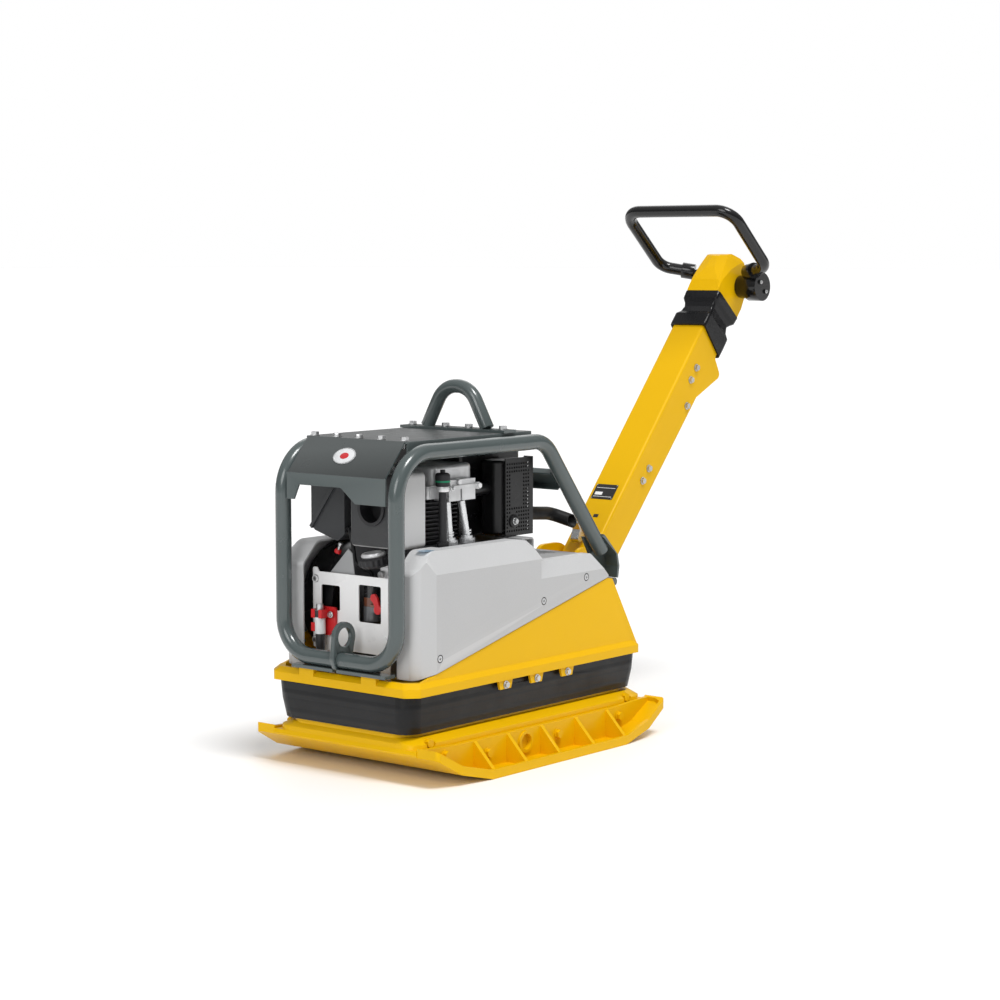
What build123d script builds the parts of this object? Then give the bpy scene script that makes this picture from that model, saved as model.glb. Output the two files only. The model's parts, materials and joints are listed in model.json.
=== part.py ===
from build123d import *
from math import acos, atan2, cos, degrees, hypot, pi, radians, sin
import os

# Reversible plate compactor with a diesel engine, a tubular guard frame and a folding centre pole.
# Millimetres. +X is forward travel, +Y is the machine's left, +Z is up.
# The origin is on the ground, at the centre of the base plate's flat contact face.

# ---------------------------------------------------------------- driving dimensions
# base plate and its bolt-on extension plates
FLAT_HALF = 260.0           # half length of the flat contact face
BEND_X, BEND_Z = 363.0, 25.0      # second bend of the upturned ends
TIP_X, TIP_Z = 442.0, 69.0        # underside of the tips
BASE_HALF_W = 226.0         # half width of the central casting
CORNER_Z = 83.0             # above this the casting's corners are round
SHOULDER_LOW, SHOULDER_TOP = 94.0, 107.0
BODY_CORNER = 46.0
CURB_HALF_L, CURB_HALF_W = 423.0, 193.0
CURB_TOP, CURB_T, CURB_CORNER = 146.0, 8.0, 50.0
PAN_FLOOR = 22.0
WING_GAP = 0.5
WING_HALF_W = 302.5         # half of the working width
WING_FLOOR, WING_LIP_H, WING_LIP_T = 12.0, 22.0, 9.0
WING_WALL_T, WING_WALL_TOP = 12.0, 82.0
RIB_XS = (250.0, 128.0, 0.0, -135.0, -262.0)
RIB_T = 11.0
WING_WALL_TIP = 88.0
WING_BOLT_XZ = ((357.0, 64.0), (205.0, 45.0), (-311.0, 57.0), (-62.0, 50.0))
SHOULDER_BOLT_XS = (391.0, -367.0)
WING_EYE_X, WING_EYE_Z, WING_EYE_R, WING_EYE_DEPTH = 62.0, 50.0, 19.0, 13.0
WING_BOLT_R = 5.95

# exciter: two geared eccentric shafts across the machine
SHAFT_X, SHAFT_Z, SHAFT_R = 70.0, 104.0, 24.0
HOUSING_HALF_L, HOUSING_HALF_W, HOUSING_TOP = 150.0, 138.0, 180.0
CHAMBER_R = 62.0
BEARING_OUT_R, BEARING_W = 46.0, 24.0
GEAR_MODULE, GEAR_TEETH = 5.0, 28
GEAR_Y, GEAR_W = -92.0, 20.0
ECCENTRIC_R, ECCENTRIC_HALF = 50.0, 66.0
FIT = 0.05                  # radial clearance of running fits

# belt drive
BELT_Y, BELT_W, BELT_T = 159.0, 20.0, 11.0
EXCITER_PULLEY_R, CLUTCH_R = 50.0, 68.0

# rubber buffers between the two masses
BUFFER_X, BUFFER_Y, BUFFER_R = 320.0, 130.0, 40.0
BOSS_TOP = 112.0

# skirt and console tray
SKIRT_MID_X, SKIRT_CORNER = 11.5, 42.0
TRAY_FRONT, TRAY_REAR, TRAY_HALF_W = 463.0, -431.0, 232.0
TRAY_BOTTOM, TRAY_EDGE_TOP, TRAY_FLOOR_T = 206.5, 230.0, 10.0
TRAY_CORNER, TRAY_ROUND = 26.0, 13.0
SKIRT_BOTTOM, SKIRT_TOP, SKIRT_T = 116.0, 205.5, 6.0
TAB_XS = (124.0, 6.0, -114.0)
TAB_Z = 195.0
WALL_OUT, WALL_T = 221.0, 7.0
PEAK_X, PEAK_Z = -307.0, 404.0
REAR_FOOT_X = -411.0
SEAM_FRONT = (421.0, 240.0)
SEAM_REAR = (-285.0, 409.0)

# side covers
COVER_OUT, COVER_IN, COVER_T = 224.0, 148.0, 4.0
COVER_TOP, LEDGE_TOP = 534.0, 475.0
COVER_FRONT = 422.0
DECK_STEP_X = -28.0         # front face of the rear deck's step
COVER_SCREWS = ((357.0, 286.0), (-27.0, 378.0), (-196.0, 419.0))
SCREW_RECESS_R = 10.0

# guard frame
TUBE_R, TUBE_WALL = 19.0, 3.2
FRAME_Y, FRAME_X, FRAME_TOP, FRAME_LOW = 178.0, 455.0, 760.0, 272.5
REAR_TOP_X, SLANT = -84.0, 51.4
FOOT_Z = 470.0
R_REAR_TOP, R_FRONT_TOP, R_LOW = 80.0, 108.0, 85.0
ROOF_Z, ROOF_T, ROOF_HALF_W = 779.3, 5.7, 158.0
ROOF_FRONT = 395.0
HOOP_X, HOOP_R, HOOP_LEG_Y, HOOP_BEND, HOOP_LEAN = 31.5, 17.0, 95.0, 68.0, 27.0
HOOP_ARC_Z = 823.6
BAR_HALF_L, BAR_HALF_W, BAR_T = 166.0, 23.0, 7.0
EYE_X, EYE_Z, EYE_R, EYE_OUT, EYE_T = 442.0, 325.0, 22.0, 36.0, 12.0

# centre pole, drawn along its own axis from the pivot
PIVOT_X, PIVOT_Z, PIVOT_R = -436.0, 405.0, 12.5
POLE_ANGLE = 49.3           # above the horizontal, leaning back
POLE_HALF_W, POLE_WALL = 51.0, 5.0
POLE_FRONT_V, POLE_BACK_V = -14.0, 90.0
POLE_LENGTH = 805.0
LUG_IN, LUG_T, LUG_R = 56.0, 12.0, 57.0
HANDLE_U, HANDLE_V = 993.0, 54.0
HUB_SHAFT_R, HUB_R = 20.0, 39.0
GRIP_R, GRIP_WALL, GRIP_Y = 16.0, 2.5, 175.0
HUB_FACE, HUB_CORE_R = 124.0, 33.0
LATCH_U, LATCH_V, LATCH_PIN_R = 95.0, -32.0, 5.0

# engine
CRANK_X, CRANK_Z, CRANK_R = 225.0, 380.0, 25.0
CYL_X, CYL_Y, BORE_R = 218.0, 38.0, 42.0
CASE_TOP, HEAD_Z, HEAD_TOP = 530.0, 640.0, 718.0
ROD_SIDE_Y = 135.0          # the side of the cylinder that carries the pushrod tubes
FILLER_X, FILLER_Y, FILLER_TOP = 262.0, 151.0, 673.0
FILLER_R, FILLER_BORE_R = 9.5, 7.0
FAN_R, FAN_Y0, FAN_Y1 = 141.0, -205.0, -106.0
DUCT_X0, DUCT_X1, DUCT_Y1, DUCT_TOP = -128.0, 110.0, 70.0, 737.0
FILTER_X, FILTER_Y = 342.0, 1.0
TAP_Y, TAP_Z = 46.0, 385.0
TAIL_Y = 106.0              # open end of the tail pipe
PLATE_X = 380.0             # front service plate

parts = {}


# ---------------------------------------------------------------- helpers
def block(x0, x1, y0, y1, z0, z1):
    return Pos((x0 + x1) / 2, (y0 + y1) / 2, (z0 + z1) / 2) * Box(x1 - x0, y1 - y0, z1 - z0)


def face_of(points, rounds=None):
    """Flat face of an outline, facing up, with the listed corners rounded: {index: radius}."""
    following = points[1:] + points[:1]
    turn = sum(x0 * y1 - x1 * y0 for (x0, y0), (x1, y1) in zip(points, following))
    face = Polygon(*(points if turn > 0 else points[::-1]), align=None)
    for index, radius in (rounds or {}).items():
        corner = face.vertices().sort_by_distance((points[index][0], points[index][1], 0))[0]
        face = fillet(corner, radius)
    return face


def prism_y(points, y0, y1, rounds=None):
    """Outline given as (x, z), from y0 to y1."""
    return extrude(Plane.XZ.offset(-y1) * face_of(points, rounds), amount=y1 - y0)


def prism_x(points, x0, x1, rounds=None):
    """Outline given as (y, z), from x0 to x1."""
    return extrude(Plane.YZ.offset(x0) * face_of(points, rounds), amount=x1 - x0)


def prism_z(points, z0, z1, rounds=None):
    """Outline given as (x, y), from z0 to z1."""
    return extrude(Plane.XY.offset(z0) * face_of(points, rounds), amount=z1 - z0)


def rod(start, end, radius):
    """Round bar between two points."""
    axis = Vector(*end) - Vector(*start)
    return extrude(Plane(origin=start, z_dir=axis) * Circle(radius), amount=axis.length)


def disc_y(x, z, radius, y0, y1):
    return rod((x, y0, z), (x, y1, z), radius)


def disc_z(x, y, radius, z0, z1):
    return rod((x, y, z0), (x, y, z1), radius)


def disc_x(y, z, radius, x0, x1):
    return rod((x0, y, z), (x1, y, z), radius)


def pipe(points, radii, outer, inner=0.0):
    """Round tube along straight runs joined by tangent arcs."""
    path = FilletPolyline(*points, radius=radii)
    section = Circle(outer) - Circle(inner) if inner else Circle(outer)
    return sweep(Plane(origin=path @ 0, z_dir=path % 0) * section, path=path)


def right_of(part):
    """The same piece on the machine's right side."""
    return mirror(part, about=Plane.XZ)


def both_sides(part):
    return part + right_of(part)


def hex_head(start, end, flats):
    """Hexagon head between two points, by its width across flats."""
    axis = Vector(*end) - Vector(*start)
    sketch = RegularPolygon(radius=flats / 2, side_count=6, major_radius=False)
    return extrude(Plane(origin=start, z_dir=axis) * sketch, amount=axis.length)


def pole_point(u, v):
    """(x, z) of a point u along the centre pole and v behind its pivot line."""
    lean = radians(POLE_ANGLE)
    return (PIVOT_X - u * cos(lean) - v * sin(lean), PIVOT_Z + u * sin(lean) - v * cos(lean))


def along_pole(points):
    return [pole_point(u, v) for u, v in points]


def add(name, part):
    parts[name] = part


# ---------------------------------------------------------------- lower mass
def sole(lift=0.0):
    """Underside of the base, front to rear, raised by lift."""
    front = [(FLAT_HALF, lift), (BEND_X, BEND_Z + lift), (TIP_X, TIP_Z + lift)]
    rear = [(-x, z) for x, z in reversed(front)]
    return rear + front


def base_plate():
    """Casting with upturned ends, a round-cornered shoulder and a curb inside the skirt."""
    outline = sole() + [(TIP_X + 3, TIP_Z + 5), (TIP_X + 1, CORNER_Z)]
    outline += [(-TIP_X - 1, CORNER_Z), (-TIP_X - 3, TIP_Z + 5)]
    casting = prism_y(outline, -BASE_HALF_W, BASE_HALF_W)

    def ring(z, half_l, half_w, corner, mid=0.0):
        return Plane.XY.offset(z) * Pos(mid, 0) * RectangleRounded(2 * half_l, 2 * half_w, corner)

    low = ring(CORNER_Z - 3, TIP_X + 1, BASE_HALF_W, BODY_CORNER)
    high = ring(SHOULDER_LOW, TIP_X, BASE_HALF_W, BODY_CORNER)
    top = ring(SHOULDER_TOP, TIP_X - 10, CURB_HALF_W + 8, BODY_CORNER)
    casting += loft([low.faces()[0], high.faces()[0]])
    casting += loft([high.faces()[0], top.faces()[0]])
    curb = ring(SHOULDER_TOP - 3, CURB_HALF_L, CURB_HALF_W, CURB_CORNER, SKIRT_MID_X)
    casting += extrude(curb, amount=CURB_TOP - SHOULDER_TOP + 3)
    inner_l, inner_w = CURB_HALF_L - CURB_T, CURB_HALF_W - CURB_T
    slope_end = 405.0
    pan = [(-FLAT_HALF, PAN_FLOOR), (FLAT_HALF, PAN_FLOOR), (BEND_X - 15, BEND_Z + 22)]
    pan += [(slope_end, CORNER_Z), (slope_end + 60, CORNER_Z), (slope_end + 60, CURB_TOP + 5)]
    pan += [(-slope_end - 60, CURB_TOP + 5), (-slope_end - 60, CORNER_Z), (-slope_end, CORNER_Z)]
    pan += [(-BEND_X + 15, BEND_Z + 22)]
    hollow = prism_y(pan, -inner_w, inner_w)
    hollow &= extrude(ring(0, inner_l, inner_w, CURB_CORNER - CURB_T, SKIRT_MID_X), amount=CURB_TOP + 10)
    casting -= hollow
    for x in (BUFFER_X, -BUFFER_X):
        for y in (BUFFER_Y, -BUFFER_Y):
            casting += disc_z(x, y, BUFFER_R + 5, PAN_FLOOR + 9, BOSS_TOP)
    for x, z in WING_BOLT_XZ:
        casting -= both_sides(disc_y(x, z, WING_BOLT_R + 0.05, BASE_HALF_W - 24, BASE_HALF_W + 1))
    for x in SHOULDER_BOLT_XS:
        casting -= both_sides(disc_y(x, SHOULDER_LOW, 15, BASE_HALF_W - 12, BASE_HALF_W + 5))
        casting -= both_sides(disc_y(x, SHOULDER_LOW, WING_BOLT_R + 0.05, BASE_HALF_W - 30, BASE_HALF_W))
    return casting


def wing_plate():
    """Left extension plate: floor, outer lip, inner wall and triangular ribs."""
    inner = BASE_HALF_W + WING_GAP
    end = TIP_X + 4
    plan = [(-end, inner), (end, inner), (end, 270), (end - 8, 289), (BEND_X, 297)]
    plan += [(FLAT_HALF, WING_HALF_W), (-FLAT_HALF, WING_HALF_W), (-BEND_X, 297)]
    plan += [(-end + 8, 289), (-end, 270)]
    keep = prism_z(plan, -5, 140, {2: 12, 3: 12, 8: 12, 9: 12})
    pocket = [(x * 0.978, y - WING_LIP_T if y > inner else y - 20) for x, y in plan]
    floor = prism_y(sole() + sole(WING_FLOOR)[::-1], inner, WING_HALF_W)
    lip = prism_y(sole() + sole(WING_LIP_H)[::-1], inner, WING_HALF_W) - prism_z(pocket, -5, 140)
    wall_top = [(TIP_X, WING_WALL_TIP), (FLAT_HALF + 60, WING_WALL_TOP)]
    wall_top += [(-x, z) for x, z in reversed(wall_top)]
    wall = prism_y(sole() + wall_top, inner, inner + WING_WALL_T)
    plate = floor + lip + wall
    rib_outline = [(inner + 4, 2), (WING_HALF_W - 5, 2), (WING_HALF_W - 6, WING_LIP_H - 2)]
    rib_outline += [(inner + 10, WING_WALL_TOP), (inner + 4, WING_WALL_TOP)]
    for x in RIB_XS:
        plate += prism_x(rib_outline, x - RIB_T / 2, x + RIB_T / 2)
    plate = plate & keep
    plate += disc_y(WING_EYE_X, WING_EYE_Z, WING_EYE_R + 8, inner, inner + WING_WALL_T + 4)
    plate -= disc_y(WING_EYE_X, WING_EYE_Z, WING_EYE_R, inner + WING_WALL_T + 4 - WING_EYE_DEPTH, inner + 40)
    for x, z in WING_BOLT_XZ:
        plate -= disc_y(x, z, WING_BOLT_R + 0.5, inner - 1, inner + WING_WALL_T + 1)
    return plate


def wing_bolts():
    """Bolts of the extension plates, and two more in pockets of the shoulder on each side."""
    seat = BASE_HALF_W + WING_GAP + WING_WALL_T
    places = [(x, z, seat, BASE_HALF_W - 22) for x, z in WING_BOLT_XZ]
    places += [(x, SHOULDER_LOW, BASE_HALF_W - 12, BASE_HALF_W - 28) for x in SHOULDER_BOLT_XS]
    bolts = []
    for x, z, face, tip in places:
        bolt = hex_head((x, face + 2.5, z), (x, face + 11, z), 19)
        bolt += disc_y(x, z, 12.5, face, face + 2.5) + disc_y(x, z, WING_BOLT_R, tip, face)
        bolts += [bolt, right_of(bolt)]
    return Compound(children=bolts)


def exciter_housing():
    """Oil-tight casting that carries both shafts, with a chamber for each weight."""
    outline = [(-HOUSING_HALF_L, 60), (-HOUSING_HALF_L + 14, PAN_FLOOR), (HOUSING_HALF_L - 14, PAN_FLOOR)]
    outline += [(HOUSING_HALF_L, 60), (HOUSING_HALF_L - 25, HOUSING_TOP), (-HOUSING_HALF_L + 25, HOUSING_TOP)]
    housing = prism_y(outline, -HOUSING_HALF_W, HOUSING_HALF_W, {4: 18, 5: 18})
    for x in (SHAFT_X, -SHAFT_X):
        housing -= disc_y(x, SHAFT_Z, CHAMBER_R, -80, 110)
        housing -= disc_y(x, SHAFT_Z, 80, -105, -79)
        housing -= disc_y(x, SHAFT_Z, BEARING_OUT_R, -HOUSING_HALF_W + 4, HOUSING_HALF_W - 4)
        housing -= disc_y(x, SHAFT_Z, SHAFT_R + 4, -HOUSING_HALF_W - 1, HOUSING_HALF_W + 1)
    return housing


def exciter_bearings():
    rings = []
    for x in (SHAFT_X, -SHAFT_X):
        for y0 in (-HOUSING_HALF_W + 4, HOUSING_HALF_W - 4 - BEARING_W):
            ring = disc_y(x, SHAFT_Z, BEARING_OUT_R - 0.02, y0, y0 + BEARING_W)
            ring -= disc_y(x, SHAFT_Z, SHAFT_R + FIT, y0 - 1, y0 + BEARING_W + 1)
            rings.append(ring)
    return Compound(children=rings)


def exciter_shaft(x, left_end):
    """Shaft with its eccentric weight, which hangs down at rest."""
    shaft = disc_y(x, SHAFT_Z, SHAFT_R, -HOUSING_HALF_W + 6, left_end)
    weight = disc_y(x, SHAFT_Z, ECCENTRIC_R, -ECCENTRIC_HALF, ECCENTRIC_HALF)
    weight -= block(x - 80, x + 80, -90, 90, SHAFT_Z, SHAFT_Z + 80)
    return shaft + weight


def timing_gear(x, first_tooth):
    """Spur gear; first_tooth is the angle of one tooth's centre, in degrees."""
    pitch_r = GEAR_MODULE * GEAR_TEETH / 2
    root_r, tip_r = pitch_r - 6.0, pitch_r + 4.4
    tooth = [(root_r - 3, -4.9), (pitch_r, -3.5), (tip_r, -2.1), (tip_r, 2.1), (pitch_r, 3.5), (root_r - 3, 4.9)]
    face = Circle(root_r)
    for number in range(GEAR_TEETH):
        face += Rot(0, 0, first_tooth + 360 * number / GEAR_TEETH) * Polygon(*tooth, align=None)
    face -= Circle(SHAFT_R + 0.02)
    return extrude(Plane.XZ.offset(-GEAR_Y) * Pos(x, SHAFT_Z) * face, amount=GEAR_W / 2, both=True)


def grooved_pulley(x, z, radius, bore, face_width):
    """Pulley with two rims that keep the belt between them."""
    half = BELT_W / 2
    wheel = disc_y(x, z, radius, BELT_Y - half - 3, BELT_Y + half + 3)
    wheel += disc_y(x, z, radius + 6, BELT_Y - half - 3, BELT_Y - half - 1)
    wheel += disc_y(x, z, radius + 6, BELT_Y + half + 1, BELT_Y + half + 3)
    wheel -= disc_y(x, z, bore, BELT_Y - face_width, BELT_Y + face_width)
    return wheel


def belt_loop(grow):
    """Outline of the belt round both pulleys, grown outward by grow."""
    low, high = (SHAFT_X, SHAFT_Z), (CRANK_X, CRANK_Z)
    r_low, r_high = EXCITER_PULLEY_R + grow, CLUTCH_R + grow
    span = hypot(high[0] - low[0], high[1] - low[1])
    heading = atan2(high[1] - low[1], high[0] - low[0])
    turn = acos((r_low - r_high) / span)
    corners = []
    for centre, radius, side in ((low, r_low, 1), (high, r_high, 1), (high, r_high, -1), (low, r_low, -1)):
        angle = heading + side * turn
        corners.append((centre[0] + radius * cos(angle), centre[1] + radius * sin(angle)))
    return face_of(corners) + Pos(*low) * Circle(r_low) + Pos(*high) * Circle(r_high)


def v_belt():
    face = belt_loop(0.4 + BELT_T) - belt_loop(0.4)
    return extrude(Plane.XZ.offset(-BELT_Y) * face, amount=BELT_W / 2 - 0.2, both=True)


def rubber_buffers():
    pads = []
    for x in (BUFFER_X, -BUFFER_X):
        for y in (BUFFER_Y, -BUFFER_Y):
            pads.append(disc_z(x, y, BUFFER_R, BOSS_TOP, TRAY_BOTTOM))
    return Compound(children=pads)


# ---------------------------------------------------------------- console tray and skirt
def seam_z(x):
    """Height of the sloping joint between the tray's side wall and the side cover."""
    slope = (SEAM_REAR[1] - SEAM_FRONT[1]) / (SEAM_REAR[0] - SEAM_FRONT[0])
    return SEAM_FRONT[1] + slope * (x - SEAM_FRONT[0])


def tray_plan(inset=0.0):
    front, rear, half = TRAY_FRONT - inset, TRAY_REAR + inset, TRAY_HALF_W - inset
    cut = TRAY_CORNER
    plan = [(front, half - cut), (front - cut, half), (rear + cut, half), (rear, half - cut)]
    return plan + [(x, -y) for x, y in reversed(plan)]


def tray_face(z, inset=0.0):
    rounds = {index: TRAY_ROUND for index in range(8)}
    return Plane.XY.offset(z) * face_of(tray_plan(inset), rounds)


def pole_lug():
    outline = [(-392, 264), (-330, 362), (-330, 415), (-375, PIVOT_Z + LUG_R), (PIVOT_X, PIVOT_Z + LUG_R)]
    outline += [(PIVOT_X - LUG_R * cos(radians(45)), PIVOT_Z - LUG_R * sin(radians(45)))]
    lug = prism_y(outline, LUG_IN, LUG_IN + LUG_T, {3: 30})
    return lug + disc_y(PIVOT_X, PIVOT_Z, LUG_R, LUG_IN, LUG_IN + LUG_T)


def console_tray():
    floor_top = TRAY_BOTTOM + TRAY_FLOOR_T
    tray = extrude(tray_face(TRAY_BOTTOM), amount=TRAY_EDGE_TOP - 4 - TRAY_BOTTOM)
    tray += loft([tray_face(TRAY_EDGE_TOP - 4).faces()[0], tray_face(TRAY_EDGE_TOP + 8, 11).faces()[0]])
    tray -= prism_z(tray_plan(20), floor_top, TRAY_EDGE_TOP + 40)
    # triangular side walls, an inner strip behind the covers, and the sloping rear panel
    wall = [(SEAM_FRONT[0], floor_top), (SEAM_FRONT[0], SEAM_FRONT[1] - 2), (SEAM_REAR[0], SEAM_REAR[1] - 2)]
    wall += [(PEAK_X, PEAK_Z), (REAR_FOOT_X, TRAY_EDGE_TOP), (REAR_FOOT_X, floor_top)]
    side = prism_y(wall, WALL_OUT - WALL_T, WALL_OUT)
    strip = [(370, floor_top), (370, seam_z(370) + 48), (-250, seam_z(-250) + 38), (-270, PEAK_Z - 60)]
    side += prism_y(strip, WALL_OUT - WALL_T - 5, WALL_OUT - WALL_T)
    tray += both_sides(side)
    panel = [(REAR_FOOT_X, floor_top), (REAR_FOOT_X, TRAY_EDGE_TOP), (PEAK_X, PEAK_Z)]
    panel += [(PEAK_X + 12, PEAK_Z - 6), (REAR_FOOT_X + 12, TRAY_EDGE_TOP - 4), (REAR_FOOT_X + 12, floor_top)]
    tray += prism_y(panel, -WALL_OUT + 1, WALL_OUT - 1)
    tray += both_sides(pole_lug())
    for y in (97, -100):
        tray += block(425, TRAY_FRONT, y - 23, y + 23, TRAY_EDGE_TOP - 6, TRAY_EDGE_TOP + 15)
    for x in TAB_XS:
        tab = [(x - 27, TRAY_BOTTOM + 1), (x - 20, TAB_Z - 10), (x + 20, TAB_Z - 10), (x + 27, TRAY_BOTTOM + 1)]
        tray += both_sides(prism_y(tab, 222, 228))
        tray -= both_sides(disc_y(x, TAB_Z, 4.2, 200, 240))
    for x, z in COVER_SCREWS:
        tray -= both_sides(disc_y(x, z, 4.2, 190, 240))
    tray -= block(20, 245, BELT_Y - 17, BELT_Y + 17, TRAY_BOTTOM - 1, floor_top + 1)
    tray -= disc_y(PIVOT_X, PIVOT_Z, PIVOT_R, -90, 90)
    return tray


def skirt_ring(inset, z, grow):
    """Rounded rectangle of the skirt at one height."""
    length, width = 869 + 2 * grow - 2 * inset, 410 + 2 * grow - 2 * inset
    shape = Pos(SKIRT_MID_X, 0) * RectangleRounded(length, width, SKIRT_CORNER - inset)
    return Plane.XY.offset(z) * shape


def skirt():
    middle = (SKIRT_BOTTOM + SKIRT_TOP) / 2
    levels = ((SKIRT_BOTTOM, 0), (middle, 7), (SKIRT_TOP, 10))
    ring = None
    for (z0, grow0), (z1, grow1) in zip(levels, levels[1:]):
        outer = loft([skirt_ring(0, z0, grow0).faces()[0], skirt_ring(0, z1, grow1).faces()[0]])
        inner = loft([skirt_ring(SKIRT_T, z0, grow0).faces()[0], skirt_ring(SKIRT_T, z1, grow1).faces()[0]])
        ring = outer - inner if ring is None else ring + (outer - inner)
    for x in TAB_XS:
        ring -= both_sides(disc_y(x, TAB_Z, 4.2, 190, 240))
    return ring


def skirt_screws():
    screws = []
    for x in TAB_XS:
        screw = hex_head((x, 230, TAB_Z), (x, 235, TAB_Z), 13) + disc_y(x, TAB_Z, 9.5, 228, 230)
        screw += disc_y(x, TAB_Z, 4.0, 205, 228)
        screws += [screw, right_of(screw)]
    return Compound(children=screws)


# ---------------------------------------------------------------- side covers
def cover_form(inset, drop, reach):
    """Bulky form of the left cover; the hollow inside it is the same form, inset by the skin."""
    t = inset
    outline = [(COVER_FRONT - t, seam_z(COVER_FRONT) - drop), (SEAM_REAR[0] + t, SEAM_REAR[1] + 1 - drop)]
    outline += [(-287 + 1.5 * t, 415), (-227 + 0.5 * t, LEDGE_TOP - t), (-26 + 0.4 * t, LEDGE_TOP - t)]
    outline += [(0.6 * t, 509 - t), (24 + 0.5 * t, 529 - t), (60 + 0.5 * t, COVER_TOP - t)]
    outline += [(372 - 0.4 * t, COVER_TOP - t), (COVER_FRONT - t, 483 - 0.4 * t)]
    form = prism_y(outline, reach, COVER_OUT - t, {3: 20, 5: 16, 6: 12, 8: 32, 9: 20})
    # long bevels along the top, along the rear ledge and down the front corner
    top_bevel = [(COVER_OUT - t, 481 - t), (207 - t, COVER_TOP + 1), (260, COVER_TOP + 1), (260, 481 - t)]
    ledge_bevel = [(COVER_OUT - t, 433 - t), (211 - t, LEDGE_TOP + 1), (260, LEDGE_TOP + 1), (260, 433 - t)]
    form -= prism_x(top_bevel, -40, 440)
    form -= prism_x(ledge_bevel, -300, -16 + t)
    plan = [(-300, 90), (COVER_FRONT - t, 90), (COVER_FRONT - t, 203 - t), (369 - 0.5 * t, COVER_OUT - t)]
    plan += [(-300, COVER_OUT - t)]
    return form & prism_z(plan, 100, 600, {2: 26})


def side_cover():
    outer = cover_form(0, 0, COVER_IN)
    outer -= block(-300, DECK_STEP_X + 5, 100, 190, 200, 600)
    outer -= block(DECK_STEP_X + 5, 300, 100, 172, 500, 600)
    cover = outer - cover_form(COVER_T, 60, 90)
    for x, z in COVER_SCREWS:
        boss = disc_y(x, z, 10, WALL_OUT - WALL_T + 0.3, COVER_OUT - 2)
        cover += boss - disc_y(x, z, 4.2, 200, 230)
        cover -= disc_y(x, z, 4.2, 200, 230)
        cover -= disc_y(x, z, SCREW_RECESS_R, COVER_OUT - 3.2, 230)
    return cover


def cover_screws():
    screws = []
    for x, z in COVER_SCREWS:
        head = disc_y(x, z, SCREW_RECESS_R - 2.6, COVER_OUT - 3.2, COVER_OUT)
        head -= extrude(Plane.XZ.offset(-COVER_OUT) * Pos(x, z) * RegularPolygon(3.5, 6), amount=2.5)
        screw = head + disc_y(x, z, 4.0, WALL_OUT - WALL_T - 8, COVER_OUT - 3.2)
        screws += [screw, right_of(screw)]
    return Compound(children=screws)


def rear_deck():
    """Folded deck that closes the engine bay behind the engine, between both covers."""
    back, front = DECK_STEP_X - 4, DECK_STEP_X
    outline = [(15, 527), (15, 531), (back + 6, 531), (back, 525), (back, 476), (-238, 471), (-262, 440)]
    outline += [(-258, 438), (-236, 467), (front, 472), (front, 523), (front + 4, 527)]
    deck = prism_y(outline, -189, 189)
    for number in range(7):
        x = -205 + number * 19
        deck -= block(x, x + 8, -120, 120, 440, 500)
    return deck


# ---------------------------------------------------------------- guard frame
def foot_x():
    return REAR_TOP_X - (FRAME_TOP - FOOT_Z) / sin(radians(SLANT)) * cos(radians(SLANT))


def cage_tube():
    left = [(foot_x(), FRAME_Y, FOOT_Z), (REAR_TOP_X, FRAME_Y, FRAME_TOP), (FRAME_X, FRAME_Y, FRAME_TOP)]
    left += [(FRAME_X, FRAME_Y, FRAME_LOW)]
    right = [(x, -y, z) for x, y, z in reversed(left)]
    radii = [R_REAR_TOP, R_FRONT_TOP, R_LOW, R_LOW, R_FRONT_TOP, R_REAR_TOP]
    return pipe(left + right, radii, TUBE_R, TUBE_R - TUBE_WALL)


def cage_foot_plate():
    plate = block(437, 474, -137, 157, TRAY_EDGE_TOP + 15.2, 253.2)
    plate -= block(400, 500, -EYE_T / 2 - 0.3, EYE_T / 2 + 0.3, 240, 260)
    bridge = block(437, 443, -EYE_T, EYE_T, TRAY_EDGE_TOP + 15.2, 250.5)
    return plate + bridge


def tow_eye():
    outline = [(EYE_X - EYE_OUT, EYE_Z), (EYE_X + EYE_OUT, EYE_Z), (484, 276), (474, 251), (446, 251), (418, 268)]
    plate = prism_y(outline, -EYE_T / 2, EYE_T / 2, {2: 12, 3: 10})
    plate += disc_y(EYE_X, EYE_Z, EYE_OUT, -EYE_T / 2, EYE_T / 2)
    plate -= disc_y(EYE_X, EYE_Z, EYE_R, -20, 20)
    plate -= disc_y(FRAME_X, FRAME_LOW, TUBE_R + 0.2, -20, 20)
    return plate


def cage_bracket():
    """Left rear foot of the frame: a web beside the tube with a curved flange round its back."""
    web = [(-268, 508), (-314, 508), (-362, 458), (-369, 428), (-364, 398), (-318, 392), (-300, 455)]
    low = [(-331, 372), (-318, 392), (-364, 398), (-376, 378)]
    inner = FRAME_Y - TUBE_R - 8
    bracket = prism_y(web, inner, inner + 7) + prism_y(low, inner, inner + 7)
    outer_curve = [(-303, 514), (-311, 508), (-362, 458), (-369, 428), (-364, 398)]
    inner_curve = [(-357, 399), (-362, 428), (-355, 461), (-307, 502), (-300, 507)]
    bracket += prism_y(outer_curve + inner_curve, inner, FRAME_Y + TUBE_R)
    bracket += disc_y(-371, 386, 10, inner - 4, inner + 30)
    foot = (foot_x(), FRAME_Y, FOOT_Z)
    slant = radians(SLANT)
    ahead = (foot[0] + 150 * cos(slant), FRAME_Y, foot[2] + 150 * sin(slant))
    below = (foot[0] - 12 * cos(slant), FRAME_Y, foot[2] - 12 * sin(slant))
    return bracket - rod(below, ahead, TUBE_R + 0.3)


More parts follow.
